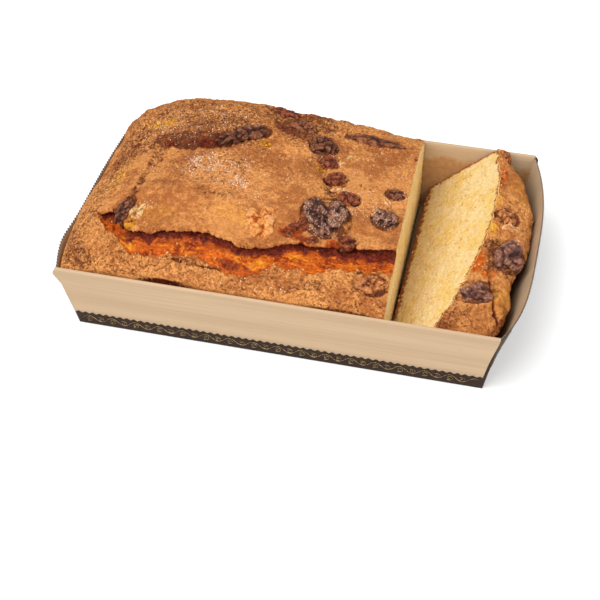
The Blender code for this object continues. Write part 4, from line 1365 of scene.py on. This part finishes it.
def makeScatterTree(name, finish, crystals, seed):
    # grains strewn over a surface where a mark on it says
    tree, takes, gives = newTree(name, (("Density", "Float", 1e6), ("Grain Size", "Float", 0.0004),
                                        ("Mark", "String", "sugar")))
    amount = add("GeometryNodeInputNamedAttribute", {"Name": takes["Mark"]}, data_type="FLOAT")
    density = times(calc("POWER", amount, 1.8), takes["Density"])
    points = add("GeometryNodeDistributePointsOnFaces",
                 {"Mesh": takes["Geometry"], "Density": density, "Seed": seed}, distribute_method="RANDOM")
    if crystals:
        sides = add("ShaderNodeCombineXYZ", {0: takes["Grain Size"], 1: times(takes["Grain Size"], 0.85),
                                             2: times(takes["Grain Size"], 0.7)})
        grain = add("GeometryNodeMeshCube", {"Size": sides})
    else:
        grain = add("GeometryNodeMeshIcoSphere", {"Radius": takes["Grain Size"], "Subdivisions": 1})
    turn = randomNumber((0, 0, 0), (6.283, 6.283, 6.283), seed + 1, "FLOAT_VECTOR")
    size = randomNumber(0.55, 1.35, seed + 2)
    strewn = add("GeometryNodeInstanceOnPoints",
                 {"Points": points, "Instance": grain, "Rotation": turn, "Scale": size})
    if not crystals:
        strewn = add("GeometryNodeRealizeInstances", {"Geometry": strewn})
        shake = add("ShaderNodeTexNoise", {"Scale": 900.0, "Detail": 2.0}, out="Color")
        shake = add("ShaderNodeVectorMath", {0: shake, 1: (0.5, 0.5, 0.5)}, operation="SUBTRACT")
        shake = add("ShaderNodeVectorMath", {0: shake, "Scale": times(takes["Grain Size"], 2.2)},
                    operation="SCALE")
        strewn = add("GeometryNodeSetPosition", {"Geometry": strewn, "Offset": shake})
    closeTree(gives, strewn, finish)
    return tree


def scatter(tree, name, food, density, size, markName):
    grains = runTree(tree, food.data, name, **{"Density": density, "Grain Size": size, "Mark": markName})
    while grains.attributes.get(markName) is not None:
        grains.attributes.remove(grains.attributes[markName])
    rideRoot(put(name, grains))


sugarTree = makeScatterTree("strewnSugar", makeSugarFinish(), True, 11)
crumbTree = makeScatterTree("strewnCrumbs", makeLooseCrumbFinish("tornCrumb", (0.42, 0.12, 0.022),
                                                                 (0.80, 0.42, 0.15)), False, 23)
for food, part in ((loaf, "loaf"), (heel, "heel")):
    scatter(sugarTree, "sugar_" + part, food, grainLook["sugarPerSquareMetre"], grainLook["sugarSize"],
            "sugar")
    scatter(crumbTree, "crumbs_" + part, food, grainLook["crumbsPerSquareMetre"], grainLook["crumbSize"],
            "crumbly")
print("sugar and crumbs strewn")


# The printed pattern of the case

printLook = dict(lineWidth=0.55, thickness=0.05, curlTurns=1.35, clear=0.04)


def makeScrollTree(finish):
    # a wavy stem with a curl in every bend, laid flat: X along the band, Y up it
    tree, takes, gives = newTree("scrollBand", (("Length", "Float", 0.19), ("Wave Height", "Float", 0.002),
                                                ("Wave Length", "Float", 0.012),
                                                ("Line Width", "Float", 0.0004)))
    pi2 = 2 * math.pi
    length, half = takes["Length"], times(takes["Wave Length"], 0.5)
    end = add("ShaderNodeCombineXYZ", {0: length})
    stem = add("GeometryNodeCurvePrimitiveLine", {"Start": (0, 0, 0), "End": end})
    steps = calc("DIVIDE", length, times(takes["Wave Length"], 0.0625))
    stem = add("GeometryNodeResampleCurve", {"Curve": stem, "Count": steps})
    along = add("ShaderNodeSeparateXYZ", {0: add("GeometryNodeInputPosition")}, out=0)
    phase = times(calc("DIVIDE", along, takes["Wave Length"]), pi2)
    lift = times(calc("SINE", phase), takes["Wave Height"])
    stem = add("GeometryNodeSetPosition", {"Geometry": stem,
                                           "Offset": add("ShaderNodeCombineXYZ", {1: lift})})
    # a curl at the middle of each half wave, above and below by turns
    count = calc("FLOOR", calc("DIVIDE", length, half))
    start = add("ShaderNodeCombineXYZ", {0: times(half, 0.5)})
    spots = add("GeometryNodeMeshLine", {"Count": count, "Start Location": start,
                                         "Offset": add("ShaderNodeCombineXYZ", {0: half})})
    odd = calc("MODULO", add("GeometryNodeInputIndex"), 2.0)
    flip = minus(1.0, times(odd, 2.0))
    reach = times(takes["Wave Height"], 0.95)
    curl = add("GeometryNodeCurveSpiral", {"Resolution": 14, "Rotations": printLook["curlTurns"],
                                           "Start Radius": times(reach, 0.16), "End Radius": reach,
                                           "Height": 0.0})
    curls = add("GeometryNodeInstanceOnPoints", {"Points": spots, "Instance": curl,
                                                 "Scale": add("ShaderNodeCombineXYZ",
                                                              {0: 1.0, 1: flip, 2: 1.0})})
    drop = add("ShaderNodeCombineXYZ", {1: times(flip, times(reach, -0.25))})
    curls = add("GeometryNodeTranslateInstances", {"Instances": curls, "Translation": drop})
    curls = add("GeometryNodeRealizeInstances", {"Geometry": curls})
    lines = add("GeometryNodeJoinGeometry", {"Geometry": stem})
    tree.links.new(curls, tree.nodes[-1].inputs["Geometry"])
    across = add("GeometryNodeCurvePrimitiveQuadrilateral",
                 {"Width": printLook["thickness"] * mm, "Height": takes["Line Width"]})
    inked = add("GeometryNodeCurveToMesh", {"Curve": lines, "Profile Curve": across, "Fill Caps": True})
    closeTree(gives, inked, finish)
    return tree


def makePrint():
    c, look = caseSize, printLook
    scrolls = makeScrollTree(makeGold())
    blank = bpy.data.meshes.new("blank")
    slope = wallSlope()
    endSlope = math.atan2((c["rimLength"] - c["baseLength"]) / 2, c["height"])

    def onSide(side):
        def spot(u, v, w):
            z = v * math.cos(slope)
            return Vector((-side * u, side * (caseHalfWidth(z) + c["board"] + look["clear"] + w), z))
        return spot

    def onEnd(side):
        def spot(u, v, w):
            z = v * math.cos(endSlope)
            reach, y, low = endSpot(side, side * u / caseHalfWidth(z), z)
            return Vector((side * (reach + c["board"] + look["clear"] + w), y, low))
        return spot

    # (name, where, half length, middle height, wave height, wave length)
    bands = (("print_front", onSide(-1), 94, 4.7, 1.9, 11.5), ("print_back", onSide(1), 94, 4.7, 1.9, 11.5),
             ("print_left_low", onEnd(-1), 58, 11, 4.2, 23.2),
             ("print_left_high", onEnd(-1), 60, 26, 4.6, 24.0),
             ("print_right_low", onEnd(1), 58, 11, 4.2, 23.2),
             ("print_right_high", onEnd(1), 60, 26, 4.6, 24.0))
    for name, spot, half, middle, waveHeight, waveLength in bands:
        flat = runTree(scrolls, blank, name, **{"Length": 2 * half * mm, "Wave Height": waveHeight * mm,
                                                "Wave Length": waveLength * mm,
                                                "Line Width": look["lineWidth"] * mm})
        for v in flat.vertices:
            v.co = spot(v.co.x / mm - half, v.co.y / mm + middle, v.co.z / mm) * mm
        tidy = bmesh.new()
        tidy.from_mesh(flat)
        bmesh.ops.recalc_face_normals(tidy, faces=tidy.faces)
        tidy.to_mesh(flat)
        tidy.free()
        rideRoot(put(name, flat))


makePrint()
print("case printed")


# Studio

studio = dict(worldStrength=0.62, floorHalf=4, floorColour=(0.85, 0.85, 0.85), floorGlow=0.15,
              aim=(0, 0, 0.03))
# name, place, power, size
studioLights = (("keyLight", (-0.45, -0.50, 1.10), 18.0, 1.2), ("fillLight", (0.9, -0.5, 0.6), 7.0, 0.9))
cameraLook = dict(azimuth=13.310, elevation=42.394, lens=85.68, sensor=36.0,
                  place=(0.120109, -0.521167, 0.467734))


def makeStudio():
    world = bpy.data.worlds.new("softRoom")
    world.use_nodes = True
    background = world.node_tree.nodes["Background"].inputs
    background["Color"].default_value = (1, 1, 1, 1)
    background["Strength"].default_value = studio["worldStrength"]
    scene.world = world
    mesh = bpy.data.meshes.new("table_floor")
    half = studio["floorHalf"]
    mesh.from_pydata([(-half, -half, 0), (half, -half, 0), (half, half, 0), (-half, half, 0)], [],
                     [(0, 1, 2, 3)])
    floor = put("table_floor", mesh)
    material, shader = newMaterial("whiteSweep", Roughness=0.9, Specular_IOR_Level=0.1)
    shader.inputs["Base Color"].default_value = (*studio["floorColour"], 1)
    shader.inputs["Emission Color"].default_value = (1, 1, 1, 1)
    shader.inputs["Emission Strength"].default_value = studio["floorGlow"]
    mesh.materials.append(material)
    for name, spot, power, size in studioLights:
        light = bpy.data.lights.new(name, "AREA")
        light.energy, light.size = power, size
        lamp = put(name, light)
        lamp.location = spot
        lamp.rotation_euler = (Vector(studio["aim"]) - Vector(spot)).to_track_quat("-Z", "Y").to_euler()
    scene.view_settings.view_transform = "Standard"


def makeCamera():
    look = cameraLook
    azimuth, elevation = math.radians(look["azimuth"]), math.radians(look["elevation"])
    back = Vector((math.sin(azimuth) * math.cos(elevation), -math.cos(azimuth) * math.cos(elevation),
                   math.sin(elevation)))
    right = Vector((math.cos(azimuth), math.sin(azimuth), 0))
    data = bpy.data.cameras.new("camera")
    data.lens, data.sensor_width = look["lens"], look["sensor"]
    camera = put("camera", data)
    axes = Matrix((right, back.cross(right), back)).transposed().to_4x4()
    camera.matrix_world = Matrix.Translation(look["place"]) @ axes
    scene.camera = camera


makeStudio()
makeCamera()
print("studio ready")
